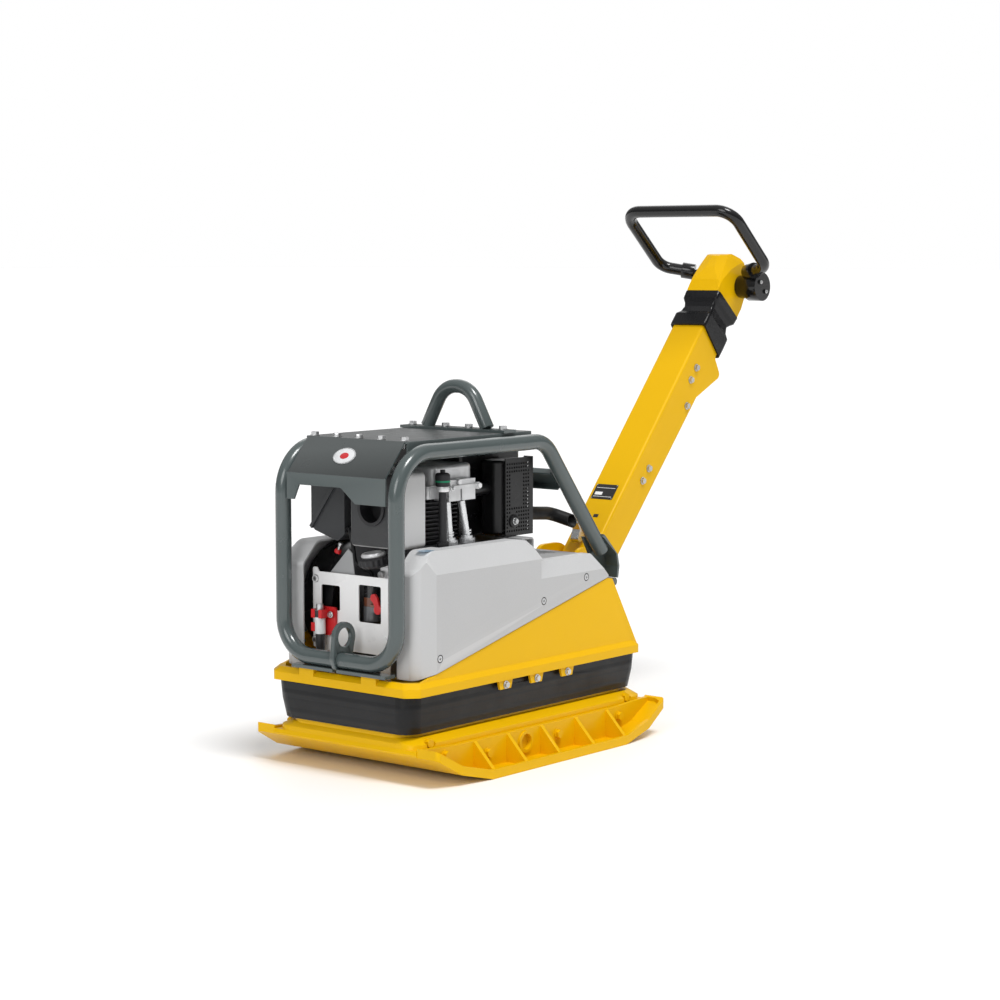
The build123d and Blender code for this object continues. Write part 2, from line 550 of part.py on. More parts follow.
def rear_cross_member():
    """Folded channel that ties the two slanting tubes together."""
    slant = radians(SLANT)
    middle_z = 664.0
    middle_x = REAR_TOP_X - (FRAME_TOP - middle_z) / sin(slant) * cos(slant)

    def place(along, off):
        return (middle_x + along * cos(slant) - off * sin(slant), middle_z + along * sin(slant) + off * cos(slant))

    outline = [place(-28, -16), place(-28, 6), place(28, 6), place(28, -16), place(23, -16), place(23, 1)]
    outline += [place(-23, 1), place(-23, -16)]
    half = FRAME_Y - TUBE_R - 0.3
    return prism_y(outline, -half, half, {1: 8, 2: 8})


def top_plate():
    plan = [(ROOF_FRONT, -ROOF_HALF_W), (ROOF_FRONT, ROOF_HALF_W), (-60, ROOF_HALF_W), (-60, -ROOF_HALF_W)]
    plate = prism_z(plan, ROOF_Z, ROOF_Z + ROOF_T)
    # folded edges rest against the two top tubes
    lip = block(-60, ROOF_FRONT - 3, ROOF_HALF_W - 5, ROOF_HALF_W, FRAME_TOP - 12, ROOF_Z)
    plate += both_sides(lip)
    for x, y in roof_bolt_places() + bar_bolt_places():
        plate -= disc_z(x, y, 5.2, ROOF_Z - 5, ROOF_Z + 20)
    return plate


def roof_bolt_places():
    return [(ROOF_FRONT - 11, y) for y in (-141, -69, 0, 69, 141)]


def bar_bolt_places():
    return [(HOOP_X, y) for y in (-144, -37, 37, 144)]


def roof_bolts():
    top = ROOF_Z + ROOF_T
    bolts = []
    for places, seat in ((roof_bolt_places(), top + 0.2), (bar_bolt_places(), top + BAR_T + 0.2)):
        for x, y in places:
            bolt = hex_head((x, y, seat + 2), (x, y, seat + 9), 17) + disc_z(x, y, 11, seat, seat + 2)
            bolts.append(bolt + disc_z(x, y, 5.0, ROOF_Z - 12, seat))
    return Compound(children=bolts)


def front_visor():
    """Sloping sheet between the front tubes, with a vertical flange and two deeper ears."""
    slope = [(ROOF_FRONT + 1, ROOF_Z + ROOF_T), (FRAME_X + 12, 703), (FRAME_X + 7, 700), (ROOF_FRONT + 1, ROOF_Z)]
    visor = prism_y(slope, -152, 152)
    flange = [(-155, 704), (155, 704), (155, 641), (62, 641), (17, 676), (-116, 676), (-132, 641), (-155, 641)]
    visor += prism_x(flange, FRAME_X + 7, FRAME_X + 12)
    return visor


def lifting_hoop():
    top = ROOF_Z + ROOF_T
    bar = block(HOOP_X - BAR_HALF_W, HOOP_X + BAR_HALF_W, -BAR_HALF_L, BAR_HALF_L, top + 0.1, top + BAR_T)
    for x, y in bar_bolt_places():
        bar -= disc_z(x, y, 5.2, top - 2, top + 20)
    lean = radians(HOOP_LEAN)
    apex_z = HOOP_ARC_Z + HOOP_BEND / cos(lean)
    shoulder = 8.0
    half_apex = HOOP_LEG_Y - (apex_z - shoulder - top) * sin(lean) / cos(lean)
    foot = top + BAR_T + 1.4
    points = [(HOOP_X, -HOOP_LEG_Y, foot), (HOOP_X, -half_apex, apex_z - shoulder)]
    points += [(HOOP_X, half_apex, apex_z - shoulder), (HOOP_X, HOOP_LEG_Y, foot)]
    rise = degrees(pi / 2 - lean)
    bend = 0.98 * half_apex / sin(radians(rise / 2)) * cos(radians(rise / 2))
    return bar + pipe(points, [bend, bend], HOOP_R)


# ---------------------------------------------------------------- engine
def crankcase():
    outline = [(105, 300), (125, 252), (300, 252), (315, 300), (315, 480), (295, CASE_TOP)]
    outline += [(120, CASE_TOP), (105, 500)]
    case = prism_y(outline, -98, 118, {0: 18, 3: 18})
    # shoulder under the pushrod tubes and the oil filler
    case += block(120, 292, 110, 168, 486, CASE_TOP)
    for x in (118, 272):
        case += block(x, x + 34, -90, 110, TRAY_BOTTOM + TRAY_FLOOR_T + 0.2, 256)
    hollow = [(122, 300), (135, 268), (290, 268), (301, 300), (301, 470), (285, 512), (135, 512), (122, 490)]
    case -= prism_y(hollow, -80, 100)
    case -= disc_y(CRANK_X, CRANK_Z, CRANK_R + FIT, -120, 130)
    case -= disc_z(CYL_X, CYL_Y, BORE_R, 500, CASE_TOP + 5)
    return case


def crankshaft():
    shaft = disc_y(CRANK_X, CRANK_Z, CRANK_R, -100, -14)
    shaft += disc_y(CRANK_X, CRANK_Z, CRANK_R, 90, 120)
    shaft += disc_y(CRANK_X, CRANK_Z, CRANK_R - 5, -190, -100)
    shaft += disc_y(CRANK_X, CRANK_Z, CRANK_R - 5, 120, 178)
    throw = 40.0
    for y0 in (-14, 66):
        web = disc_y(CRANK_X, CRANK_Z, 68, y0, y0 + 24)
        web -= block(CRANK_X - 80, CRANK_X - 30, y0 - 1, y0 + 25, CRANK_Z, CRANK_Z + 80)
        web -= block(CRANK_X + 30, CRANK_X + 80, y0 - 1, y0 + 25, CRANK_Z, CRANK_Z + 80)
        shaft += web
    return shaft + disc_y(CRANK_X, CRANK_Z + throw, 20, 8, 68)


def flywheel():
    wheel = disc_y(CRANK_X, CRANK_Z, 122, -186, -170) + disc_y(CRANK_X, CRANK_Z, 36, -170, -124)
    wheel += disc_y(CRANK_X, CRANK_Z, 122, -170, -130) - disc_y(CRANK_X, CRANK_Z, 96, -171, -129)
    blades = 18
    for number in range(blades):
        blade = Rot(0, 360 * number / blades, 0) * block(60, 121, -198, -185, -2, 2)
        wheel += Pos(CRANK_X, 0, CRANK_Z) * blade
    return wheel - disc_y(CRANK_X, CRANK_Z, CRANK_R - 5 + 0.02, -210, -110)


def clutch_pulley():
    return grooved_pulley(CRANK_X, CRANK_Z, CLUTCH_R, CRANK_R - 5 + FIT, 30)


def exciter_pulley():
    return grooved_pulley(SHAFT_X, SHAFT_Z, EXCITER_PULLEY_R, SHAFT_R + 0.02, 30)


def finned_cylinder():
    barrel = disc_z(CYL_X, CYL_Y, BORE_R + 13, CASE_TOP + 0.2, HEAD_Z - 0.2)
    fins, pitch = 10, 10.0
    for number in range(fins):
        z = CASE_TOP + 9 + number * pitch
        fin = Pos(CYL_X, CYL_Y, z) * extrude(RectangleRounded(140, 138, 16), amount=2.6)
        barrel += fin
    return barrel - disc_z(CYL_X, CYL_Y, BORE_R, CASE_TOP - 5, HEAD_Z + 5)


def cylinder_head():
    head = Pos(196, 40, HEAD_Z) * extrude(RectangleRounded(158, 152, 10), amount=30)
    head += block(138, 234, 100, 146, HEAD_Z - 6, HEAD_Z + 44)
    cover = Pos(190, 42, HEAD_Z + 32) * extrude(RectangleRounded(146, 160, 18), amount=HEAD_TOP - HEAD_Z - 32)
    cover = fillet(cover.edges().group_by(Axis.Z)[-1], 9)
    head += cover + Pos(190, 42, HEAD_Z + 30) * extrude(RectangleRounded(152, 166, 12), amount=2.4)
    # slot between the two lugs, and the tie bar with its screws across them
    head -= block(186, 192, 136, 147, HEAD_Z - 7, HEAD_Z + 30)
    head += block(126, 247, 145, 153, HEAD_Z + 22, HEAD_Z + 31)
    for x, z, base in ((136, HEAD_Z + 26, 153), (237, HEAD_Z + 27, 153), (200, HEAD_Z + 38, 145)):
        head += disc_y(x, z, 8.5, base - 8, base + 1.5) + hex_head((x, base + 1.5, z), (x, base + 7, z), 12)
    return head


def pushrod_tubes():
    tubes = []
    y = ROD_SIDE_Y - 4
    for low_x, high_x in ((214, 224), (150, 172)):
        tube = rod((low_x, y, CASE_TOP + 4), (high_x, y, HEAD_Z - 8), 9)
        tube += disc_z(low_x, y, 19, CASE_TOP + 0.2, CASE_TOP + 11)
        tube += disc_z(low_x + 1, y, 14, CASE_TOP + 11, CASE_TOP + 17)
        for level in (22, 28):
            tube += disc_z(low_x + 2, y, 11.5, CASE_TOP + level, CASE_TOP + level + 3)
        tubes.append(tube)
    return Compound(children=tubes)


def oil_filler_tube():
    tube = disc_z(FILLER_X, FILLER_Y, FILLER_R, CASE_TOP + 0.2, FILLER_TOP)
    tube += disc_z(FILLER_X, FILLER_Y, 14, CASE_TOP + 0.2, CASE_TOP + 12)
    tube += disc_z(FILLER_X, FILLER_Y, 13, FILLER_TOP - 13, FILLER_TOP)
    return tube - disc_z(FILLER_X, FILLER_Y, FILLER_BORE_R, CASE_TOP + 5, FILLER_TOP + 5)


def oil_filler_cap():
    cap = disc_z(0, 0, 17, 0, 9) + disc_z(0, 0, 15, 9, 13) + disc_z(0, 0, 17.5, 13, 31)
    cap = fillet(cap.edges().group_by(Axis.Z)[-1], 7)
    cap += disc_z(0, 0, 6, 30, 38)
    cap += disc_z(0, 0, FILLER_BORE_R - 0.3, -22, 0)
    return Pos(FILLER_X, FILLER_Y, FILLER_TOP + 0.4) * cap


def fan_housing():
    """Fan drum with its grille, and the sheet-metal air duct that rises behind the cylinder."""
    drum = disc_y(CRANK_X, CRANK_Z, FAN_R, FAN_Y0, FAN_Y1)
    drum -= disc_y(CRANK_X, CRANK_Z, FAN_R - 4, FAN_Y0 + 4, FAN_Y1 + 5)
    drum -= disc_y(CRANK_X, CRANK_Z, 70, FAN_Y0 - 5, FAN_Y0 + 10)
    for number in range(4):
        bar = block(-72, 72, FAN_Y0, FAN_Y0 + 4, -2, 2)
        drum += Pos(CRANK_X, 0, CRANK_Z) * Rot(0, 45 * number, 0) * bar
    for radius in (26, 48):
        ring = disc_y(CRANK_X, CRANK_Z, radius + 2, FAN_Y0, FAN_Y0 + 4)
        drum += ring - disc_y(CRANK_X, CRANK_Z, radius - 2, FAN_Y0 - 1, FAN_Y0 + 5)
    neck = block(104, 186, FAN_Y1 - 34, FAN_Y1, 470, 560) - block(108, 182, FAN_Y1 - 30, FAN_Y1 - 4, 440, 575)
    neck -= disc_y(CRANK_X, CRANK_Z, FAN_R - 4, FAN_Y0 + 4, FAN_Y1 + 5)
    duct = block(DUCT_X0, DUCT_X1, -145, DUCT_Y1, 535, DUCT_TOP)
    duct = fillet(duct.edges().filter_by(Axis.Z), 14)
    duct -= block(DUCT_X0 + 3, DUCT_X1 - 3, -142, DUCT_Y1 - 3, 538, DUCT_TOP - 3)
    link = block(DUCT_X1 - 8, 130, FAN_Y1 - 34, FAN_Y1, 535, 600)
    return drum + neck + duct + link


def air_filter_box():
    body = block(312, 392, -25, 140, 532, 709)
    body = fillet(body.edges().filter_by(Axis.X), 12)
    body = fillet(body.edges().group_by(Axis.X)[-1], 10)
    body -= block(316, 388, -21, 136, 536, 705)
    body -= disc_x(46, 624, 35, 380, 400)
    return body


def air_intake():
    ring = disc_x(46, 624, 41, 392.2, 397) + disc_x(46, 624, 34.8, 352, 392.2)
    return ring - disc_x(46, 624, 33, 356, 405)


def fuel_tank():
    outline = [(-184, 706), (-184, 566), (-172, 556), (-98, 534), (-76, 552), (-76, 706)]
    tank = prism_x(outline, 192, 354, {0: 16, 1: 10, 3: 12, 4: 10, 5: 16})
    tank -= prism_x([(-180, 702), (-180, 568), (-170, 560), (-99, 539), (-80, 555), (-80, 702)], 196, 350)
    tank += disc_z(270, -130, 30, 704, 716)
    tank -= disc_z(270, -130, 25, 695, 720)
    seam = [(-186, 566), (-180, 560), (-98, 672), (-106, 678)]
    return tank + prism_x(seam, 350, 359)


def tank_cap():
    cap = disc_z(270, -130, 37, 716.4, 742)
    cap = fillet(cap.edges().group_by(Axis.Z)[-1], 5)
    cap += disc_z(270, -130, 24.6, 702, 716.4)
    for number in range(12):
        groove = disc_z(37, 0, 4, 714, 745)
        cap -= Pos(270, -130, 0) * Rot(0, 0, 30 * number) * groove
    return cap


def fuel_filter():
    x, y = FILTER_X, FILTER_Y
    body = disc_z(x, y, 19, 410, 446) + disc_z(x, y, 21, 388, 410) + disc_z(x, y, 22, 352, 388)
    body += block(x - 26.8, x, y - 12, y + 12, 428, 444)
    return body + block(x, x + 25, y + 14, TAP_Y + 6, TAP_Z - 9, TAP_Z + 9)


def fuel_tap_lever():
    knob = disc_x(TAP_Y, TAP_Z, 11, FILTER_X + 25.3, FILTER_X + 33)
    lever = [(-8, 3), (5, 8), (-2, 28), (-10, 37), (-21, 34), (-23, 22), (-15, 16)]
    outline = [(TAP_Y + y, TAP_Z + z) for y, z in lever]
    return knob + prism_x(outline, FILTER_X + 26, FILTER_X + 32, {2: 4, 3: 6, 4: 6, 5: 6})


def fuel_hose():
    """Hose from the tank's inner side down to the top of the fuel filter."""
    points = [(346, -75.8, 566), (346, -62, 566), (368, -46, 566), (368, -37, 535), (368, -30, 490)]
    points += [(FILTER_X + 3, FILTER_Y, 466), (FILTER_X, FILTER_Y, 447.5)]
    return pipe(points, [12, 14, 30, 18, 10], 5.0)


def muffler():
    body = block(-72, 46, 78, 140, 536, 718)
    body = fillet(body.edges().filter_by(Axis.Z), 20)
    body = fillet(body.edges().group_by(Axis.Z)[-1] + body.edges().group_by(Axis.Z)[0], 8)
    body -= block(-66, 40, 88, 130, 548, 706)
    body += disc_x(100, 650, 17, 39, 116.7) - disc_x(100, 650, 12, 34, 120)
    return body - disc_x(100, 572, 19, -80, -64)


def muffler_guard():
    """Perforated heat guard: outer face with an edge folded towards the muffler at the rear."""
    face = block(-78, 28, 146, 149, 533, 722) + block(-78, -75, 122, 149, 533, 722)
    pitch, size = 9.0, 5.0
    for row in range(19):
        z = 543 + row * pitch
        solid_middle = 600 < z < 680
        for column in range(10):
            x = -62 + column * pitch
            near_bolt = hypot(x + 3, z - 569) < 22
            if near_bolt or (solid_middle and 3 <= column <= 7):
                continue
            face -= block(x, x + size, 140, 155, z, z + size)
        face -= block(-80, -70, 128, 142, z, z + size)
    face += disc_y(-3, 569, 15, 143, 149)
    for z in (538, 716):
        face += block(-40, 5, 140.3, 147, z - 4, z + 4)
    return face + hex_head((-3, 149, 569), (-3, 155, 569), 13)


def exhaust_pipe():
    """Tail pipe that bends back towards the left and is cut off square to the machine."""
    points = [(-69, 100, 572), (-150, 84, 572), (-262, 58, 561), (-298, 120, 537)]
    tail = pipe(points, [90, 34], 16.6, 14.4)
    return tail - block(-400, -200, TAIL_Y, TAIL_Y + 60, 480, 620)


def service_plate():
    outline = [(-155, 280), (110, 280), (110, 462), (-136, 462), (-142, 472), (-155, 472)]
    plate = prism_x(outline, PLATE_X - 3, PLATE_X, {0: 6, 5: 5})
    plate -= prism_x([(-128, 373), (-68, 373), (-68, 432), (-128, 432)], 370, 390, {0: 5, 1: 5, 2: 5, 3: 5})
    plate -= prism_x([(-8, 353), (62, 353), (62, 441), (-8, 441)], 370, 390, {0: 5, 1: 5, 2: 5, 3: 5})
    for y in (-120, 60):
        plate += block(PLATE_X - 3, PLATE_X, y, y + 30, TRAY_BOTTOM + TRAY_FLOOR_T + 0.2, 282)
    for y, z in ((-146, 444), (-147, 298), (77, 317)):
        plate += disc_x(y, z, 8, PLATE_X, PLATE_X + 4)
    return plate


def hose_clip():
    """Plate and two rings that hold the drain hose in front of the service plate."""
    outline = [(-132, 315), (-97, 313), (-76, 338), (-76, 381), (-132, 381)]
    clip = prism_x(outline, PLATE_X + 0.3, PLATE_X + 7, {2: 6, 3: 5})
    for z in (324, 356):
        clip += block(PLATE_X + 6, PLATE_X + 34, -130, -96, z, z + 20)
        clip -= disc_z(PLATE_X + 22, -112, 13.3, z - 1, z + 21)
    clip -= block(PLATE_X + 7, PLATE_X + 40, -112, -90, 310, 352)
    return clip + hex_head((PLATE_X + 7, -87, 364), (PLATE_X + 13, -87, 364), 11)


def drain_hose():
    x, y = PLATE_X + 22, -112
    hose = disc_z(x, y, 11, 262, 318) + disc_z(x, y, 13, 318, 374)
    return hose + disc_z(x, y, 9, 374, 388) + disc_z(x, y, 10.5, TRAY_BOTTOM + TRAY_FLOOR_T + 0.5, 262)


# ---------------------------------------------------------------- centre pole and handle
def pole():
    outline = [(-34, -12), (0, POLE_FRONT_V), (POLE_LENGTH, POLE_FRONT_V), (POLE_LENGTH, POLE_BACK_V - 2)]
    outline += [(766, POLE_BACK_V - 2), (745, 142), (640, POLE_BACK_V + 4), (100, POLE_BACK_V - 6)]
    outline += [(-12, 52), (-34, 20)]
    body = prism_y(along_pole(outline), -POLE_HALF_W, POLE_HALF_W, {0: 12, 4: 12, 5: 14, 9: 12})
    body = fillet(body.edges().filter_by(lambda edge: edge.length > 500), 7)
    t = POLE_WALL
    hollow = [(40, POLE_FRONT_V + t), (POLE_LENGTH + 5, POLE_FRONT_V + t), (POLE_LENGTH + 5, POLE_BACK_V - 2 - t)]
    hollow += [(640, POLE_BACK_V - t), (100, POLE_BACK_V - 6 - t), (40, 62)]
    body -= prism_y(along_pole(hollow), -POLE_HALF_W + t, POLE_HALF_W - t)
    body += disc_y(PIVOT_X, PIVOT_Z, 24, -LUG_IN + 0.6, LUG_IN - 0.6)
    body -= disc_y(PIVOT_X, PIVOT_Z, PIVOT_R + FIT, -90, 90)
    # two small ears for the lock lever on the front face
    pin_x, pin_z = pole_point(LATCH_U, LATCH_V)
    ear_outline = [(LATCH_U - 14, -8), (LATCH_U - 9, -36), (LATCH_U + 9, -38), (LATCH_U + 16, -8)]
    ear = prism_y(along_pole(ear_outline), 13.5, 19)
    body += both_sides(ear + disc_y(pin_x, pin_z, 10, 13.5, 19))
    body -= disc_y(pin_x, pin_z, LATCH_PIN_R + FIT, -30, 30)
    for x, z in pole_bolt_places():
        body -= disc_y(x, z, 5.0, -70, 70)
    return body


def pole_bolt_places():
    return ((-912, 905), (-886, 873), (-868, 803), (-694, 645), (-666, 614))


def pole_bolts():
    bolts = []
    for x, z in pole_bolt_places():
        bolt = disc_y(x, z, 10, POLE_HALF_W + 0.1, POLE_HALF_W + 2.5)
        bolt += hex_head((x, POLE_HALF_W + 2.5, z), (x, POLE_HALF_W + 8, z), 14)
        bolt += disc_y(x, z, 4.9, POLE_HALF_W - 12, POLE_HALF_W + 0.1)
        bolts += [bolt, right_of(bolt)]
    return Compound(children=bolts)


def pole_lock_lever():
    """Hook-shaped lever that turns on its own pin between two ears of the pole."""
    pin_x, pin_z = pole_point(LATCH_U, LATCH_V)
    outline = [(-482, 494), (-484, 508), (-462, 524), (-446, 528), (-437, 518), (-446, 500), (-436, 474)]
    outline += [(-446, 466), (-456, 472), (-464, 486)]
    lever = prism_y(outline, -12.5, 12.5, {2: 6, 3: 6, 4: 5, 6: 5, 7: 4})
    return lever + disc_y(pin_x, pin_z, LATCH_PIN_R, -22, 22)


def pole_plane(u):
    """Plane across the pole at u, whose own axes are the machine's Y and the pole's v."""
    x, z = pole_point(u, 0)
    lean = radians(POLE_ANGLE)
    return Plane(origin=(x, 0, z), x_dir=(0, 1, 0), z_dir=(-cos(lean), 0, sin(lean)))


def pole_ring(u, front_v, back_v, half_w, corner):
    """Rounded rectangle across the pole."""
    shape = Pos(0, (front_v + back_v) / 2) * RectangleRounded(2 * half_w, back_v - front_v, corner)
    return (pole_plane(u) * shape).faces()[0]


def rubber_boot():
    """Rubber coupling between the pole and the head: two collars with a waist."""
    levels = ((766, -20, 101, 57), (806, -21, 101, 58), (836, -21, 100, 58), (848, -14, 90, 52))
    levels += ((868, -11, 84, 49), (880, -14, 90, 52), (890, -22, 97, 57), (913, -24, 99, 57.5))
    rings = [pole_ring(u, front, back, half, 9) for u, front, back, half in levels]
    boot = loft(rings[:2])
    for low, high in zip(rings[1:], rings[2:]):
        boot += loft([low, high])
    boot -= prism_y(along_pole([(730, -60), (805, -60), (770, 130), (730, 130)]), -80, 80)
    boot -= prism_y(along_pole([(740, -15), (807, -15), (807, 89), (740, 89)]), -52, 52)
    boot -= prism_y(along_pole([(888, -14), (930, -14), (930, 90), (888, 90)]), -51, 51)
    return boot - prism_y(along_pole([(800, 5), (900, 5), (900, 72), (800, 72)]), -38, 38)


def pole_head():
    """Cap of the pole, whose ridged front narrows upwards, and the bearing for the handle's shaft."""
    outline = [(914, -24), (945, -34), (985, -39), (1026, -40), (1047, -22), (1057, 10), (1050, 36), (1028, 64)]
    outline += [(985, 89), (945, 99), (914, 101)]
    head = prism_y(along_pole(outline), -51, 51, {3: 10, 4: 14, 5: 16, 6: 20, 7: 24, 8: 20})
    # u, half width of the front, and how far back (v) the full width starts
    sections = ((905, 46, -26), (955, 46, -24), (1000, 41, -12), (1035, 34, 8), (1062, 26, 30))
    rings = []
    for u, front_half, full_v in sections:
        across = [(-45, 104), (-51, 98), (-51, full_v), (-front_half, -33), (0, -42)]
        across += [(front_half, -33), (51, full_v), (51, 98), (45, 104)]
        rings.append((pole_plane(u) * face_of(across)).faces()[0])
    envelope = loft(rings[:2], ruled=True)
    for low, high in zip(rings[1:], rings[2:]):
        envelope += loft([low, high], ruled=True)
    head &= envelope
    head += prism_y(along_pole([(889, -13), (916, -13), (916, 89), (889, 89)]), -50, 50)
    hollow = [(880, 4), (930, 0), (1000, -8), (1026, 10), (1030, 30), (950, 78), (880, 76)]
    head -= prism_y(along_pole(hollow), -41, 41)
    x, z = pole_point(HANDLE_U, HANDLE_V)
    head += disc_y(x, z, 28, -50.8, -40) + disc_y(x, z, 28, 40, 50.8)
    return head - disc_y(x, z, HUB_SHAFT_R + FIT, -80, 80)


def grip_path():
    """The handle's centre line on the left side, from its socket to the top bar."""
    x, z = pole_point(HANDLE_U, HANDLE_V)
    return [(x + 22, 92, z + 40), (x + 62, GRIP_Y, z + 55), (x + 235, GRIP_Y, z + 205)]


def grip_socket():
    """Clamp on the left that holds the end of the handle's tube, and the bore for the tube."""
    start, second = Vector(*grip_path()[0]), Vector(*grip_path()[1])
    heading = (second - start).normalized()
    near, far, beyond = start - heading * 3, start + heading * 32, start + heading * 60
    clamp = rod((near.X, near.Y, near.Z), (far.X, far.Y, far.Z), GRIP_R + 6)
    bore = rod((start.X, start.Y, start.Z), (beyond.X, beyond.Y, beyond.Z), GRIP_R + 0.05)
    return clamp, bore


def handle_hub():
    """Cross shaft through the head: a drum and clamp on the left, a short arm and clamp on the right."""
    x, z = pole_point(HANDLE_U, HANDLE_V)
    clamp, bore = grip_socket()
    drum = disc_y(x, z, HUB_CORE_R - 2, 51.5, 60) + disc_y(x, z, HUB_CORE_R, 60, 84)
    drum += disc_y(x, z, HUB_R, 84, HUB_FACE)
    for offset in (13, -13):
        drum += hex_head((x + offset, HUB_FACE, z + offset), (x + offset, HUB_FACE + 4, z + offset), 11)
    arm = disc_y(x, z, 24, 51.5, 78) + rod((x, 68, z), (x + 22, 90, z + 40), 15)
    return (drum + clamp - bore) + right_of(arm + clamp - bore) + disc_y(x, z, HUB_SHAFT_R, -52, 52)


def handle_loop():
    left = grip_path()
    right = [(x, -y, z) for x, y, z in reversed(left)]
    return pipe(left + right, [45, 50, 50, 45], GRIP_R, GRIP_R - GRIP_WALL)


# ---------------------------------------------------------------- build and write
def build():
    add("base_plate", base_plate())
    left_wing = wing_plate()
    add("left_wing_plate", left_wing)
    add("right_wing_plate", right_of(left_wing))
    add("wing_bolts", wing_bolts())
    add("exciter_housing", exciter_housing())
    add("exciter_bearings", exciter_bearings())
    add("front_exciter_shaft", exciter_shaft(SHAFT_X, BELT_Y + 16))
    add("rear_exciter_shaft", exciter_shaft(-SHAFT_X, HOUSING_HALF_W - 6))
    half_tooth = 180.0 / GEAR_TEETH
    add("front_timing_gear", timing_gear(SHAFT_X, 180.0))
    add("rear_timing_gear", timing_gear(-SHAFT_X, half_tooth))
    add("exciter_pulley", exciter_pulley())
    add("v_belt", v_belt())
    add("rubber_buffers", rubber_buffers())
    add("console_tray", console_tray())
    add("skirt", skirt())
    add("skirt_screws", skirt_screws())
    left_cover = side_cover()
    add("left_side_cover", left_cover)
    add("right_side_cover", right_of(left_cover))
    add("cover_screws", cover_screws())
    add("rear_deck", rear_deck())
    add("cage_tube", cage_tube())
    add("cage_foot_plate", cage_foot_plate())
    left_bracket = cage_bracket()
    add("cage_brackets", Compound(children=[left_bracket, right_of(left_bracket)]))
    add("tow_eye", tow_eye())
    add("rear_cross_member", rear_cross_member())
    add("top_plate", top_plate())
    add("front_visor", front_visor())
    add("roof_bolts", roof_bolts())
    add("lifting_hoop", lifting_hoop())
    add("crankcase", crankcase())
    add("crankshaft", crankshaft())
    add("flywheel", flywheel())
    add("clutch_pulley", clutch_pulley())
    add("finned_cylinder", finned_cylinder())
    add("cylinder_head", cylinder_head())
    add("pushrod_tubes", pushrod_tubes())
    add("oil_filler_tube", oil_filler_tube())
    add("oil_filler_cap", oil_filler_cap())
    add("fan_housing", fan_housing())
    add("air_filter_box", air_filter_box())
    add("air_intake", air_intake())
    add("fuel_tank", fuel_tank())
    add("tank_cap", tank_cap())
    add("fuel_filter", fuel_filter())
    add("fuel_tap_lever", fuel_tap_lever())
    add("fuel_hose", fuel_hose())
    add("muffler", muffler())
    add("muffler_guard", muffler_guard())
    add("exhaust_pipe", exhaust_pipe())
    add("service_plate", service_plate())
    add("hose_clip", hose_clip())
    add("drain_hose", drain_hose())
    add("pole_pivot_pin", disc_y(PIVOT_X, PIVOT_Z, PIVOT_R - 0.02, -74, 74))
    add("pole", pole())
    add("pole_bolts", pole_bolts())
    add("pole_lock_lever", pole_lock_lever())
    add("rubber_boot", rubber_boot())
    add("pole_head", pole_head())
    add("handle_hub", handle_hub())
    add("handle_loop", handle_loop())


build()
os.makedirs("parts", exist_ok=True)
for name, part in parts.items():
    export_step(part, f"parts/{name}.step")
print(len(parts), "nodes written")
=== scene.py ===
import bpy
import bmesh
import json
import math
from mathutils import Matrix, Vector


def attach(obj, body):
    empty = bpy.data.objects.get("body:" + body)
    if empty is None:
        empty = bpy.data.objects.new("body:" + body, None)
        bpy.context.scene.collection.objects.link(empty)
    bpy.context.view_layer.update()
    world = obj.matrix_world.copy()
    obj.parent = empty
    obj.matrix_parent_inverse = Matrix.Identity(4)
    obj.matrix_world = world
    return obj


# Reversible plate compactor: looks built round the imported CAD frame.
# Metres, in the frame's own axes: +X forward travel, +Y the machine's left, +Z up.

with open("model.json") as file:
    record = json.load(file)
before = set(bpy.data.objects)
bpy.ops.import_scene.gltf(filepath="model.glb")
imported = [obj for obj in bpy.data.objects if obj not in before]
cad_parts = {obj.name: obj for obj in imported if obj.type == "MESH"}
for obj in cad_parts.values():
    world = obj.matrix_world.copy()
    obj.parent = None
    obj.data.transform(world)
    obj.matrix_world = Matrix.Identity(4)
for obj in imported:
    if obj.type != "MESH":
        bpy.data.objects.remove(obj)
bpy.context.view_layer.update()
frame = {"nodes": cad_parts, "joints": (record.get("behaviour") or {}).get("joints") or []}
NODES = frame["nodes"]

# ---------------------------------------------------------------- directions, places and shared colours
FORWARD, LEFT, UP = (1, 0, 0), (0, 1, 0), (0, 0, 1)
PROUD = 0.0001                              # how far a label or badge stands off the face behind it
SMOOTH_ANGLE = 35                           # faces of a small piece that meet at less are shaded smooth
WASHER_THICK = 0.0016
HEAD_SHARE = 0.45                           # a bolt head's height over its width across flats


def joint_place(name):
    """X, Y and Z of that joint's axis in the frame."""
    return next(joint["pos_m"] for joint in frame["joints"] if joint["name"] == name)


VISOR_BADGE = (0.430, -0.003, 0.7457)       # middle of the badge on the visor's slope
VISOR_NORMAL = (0.756, 0, 0.654)
BADGE_RADIUS, BADGE_SQUASH, BADGE_CENTRE = 0.0325, 0.69, 0.013

PIVOT_X, PIVOT_Z = joint_place("pole_fold")[::2]
POLE_ANGLE = 49.3                           # the pole's rise at rest, degrees
POLE_FRONT = 0.014                          # from the pin's axis out to the pole's front face
NAME_PLATE_PLACE = (0.229, -0.005)          # along the pole from its pin, and Y
POLE_TAG_PLACE = (0.152, 0.004)
PLATE_SIZE = (0.070, 0.048, 0.003)          # width, height and corner
TAG_SIZE = (0.015, 0.010, 0.001)
PLATE_THICK, BAR_TOP = 0.0010, 0.0012
PLATE_BARS = (                              # place, width, height and corner of each plain bar
    (0, 0.012, 0.060, 0.0016, 0.0004),
    (0, -0.016, 0.060, 0.0016, 0.0004),
    (-0.016, -0.006, 0.024, 0.010, 0.001),
)
PLATE_RIVET = (0.032, 0.021)                # from the plate's middle, on each side
RIVET_RADIUS = 0.0016

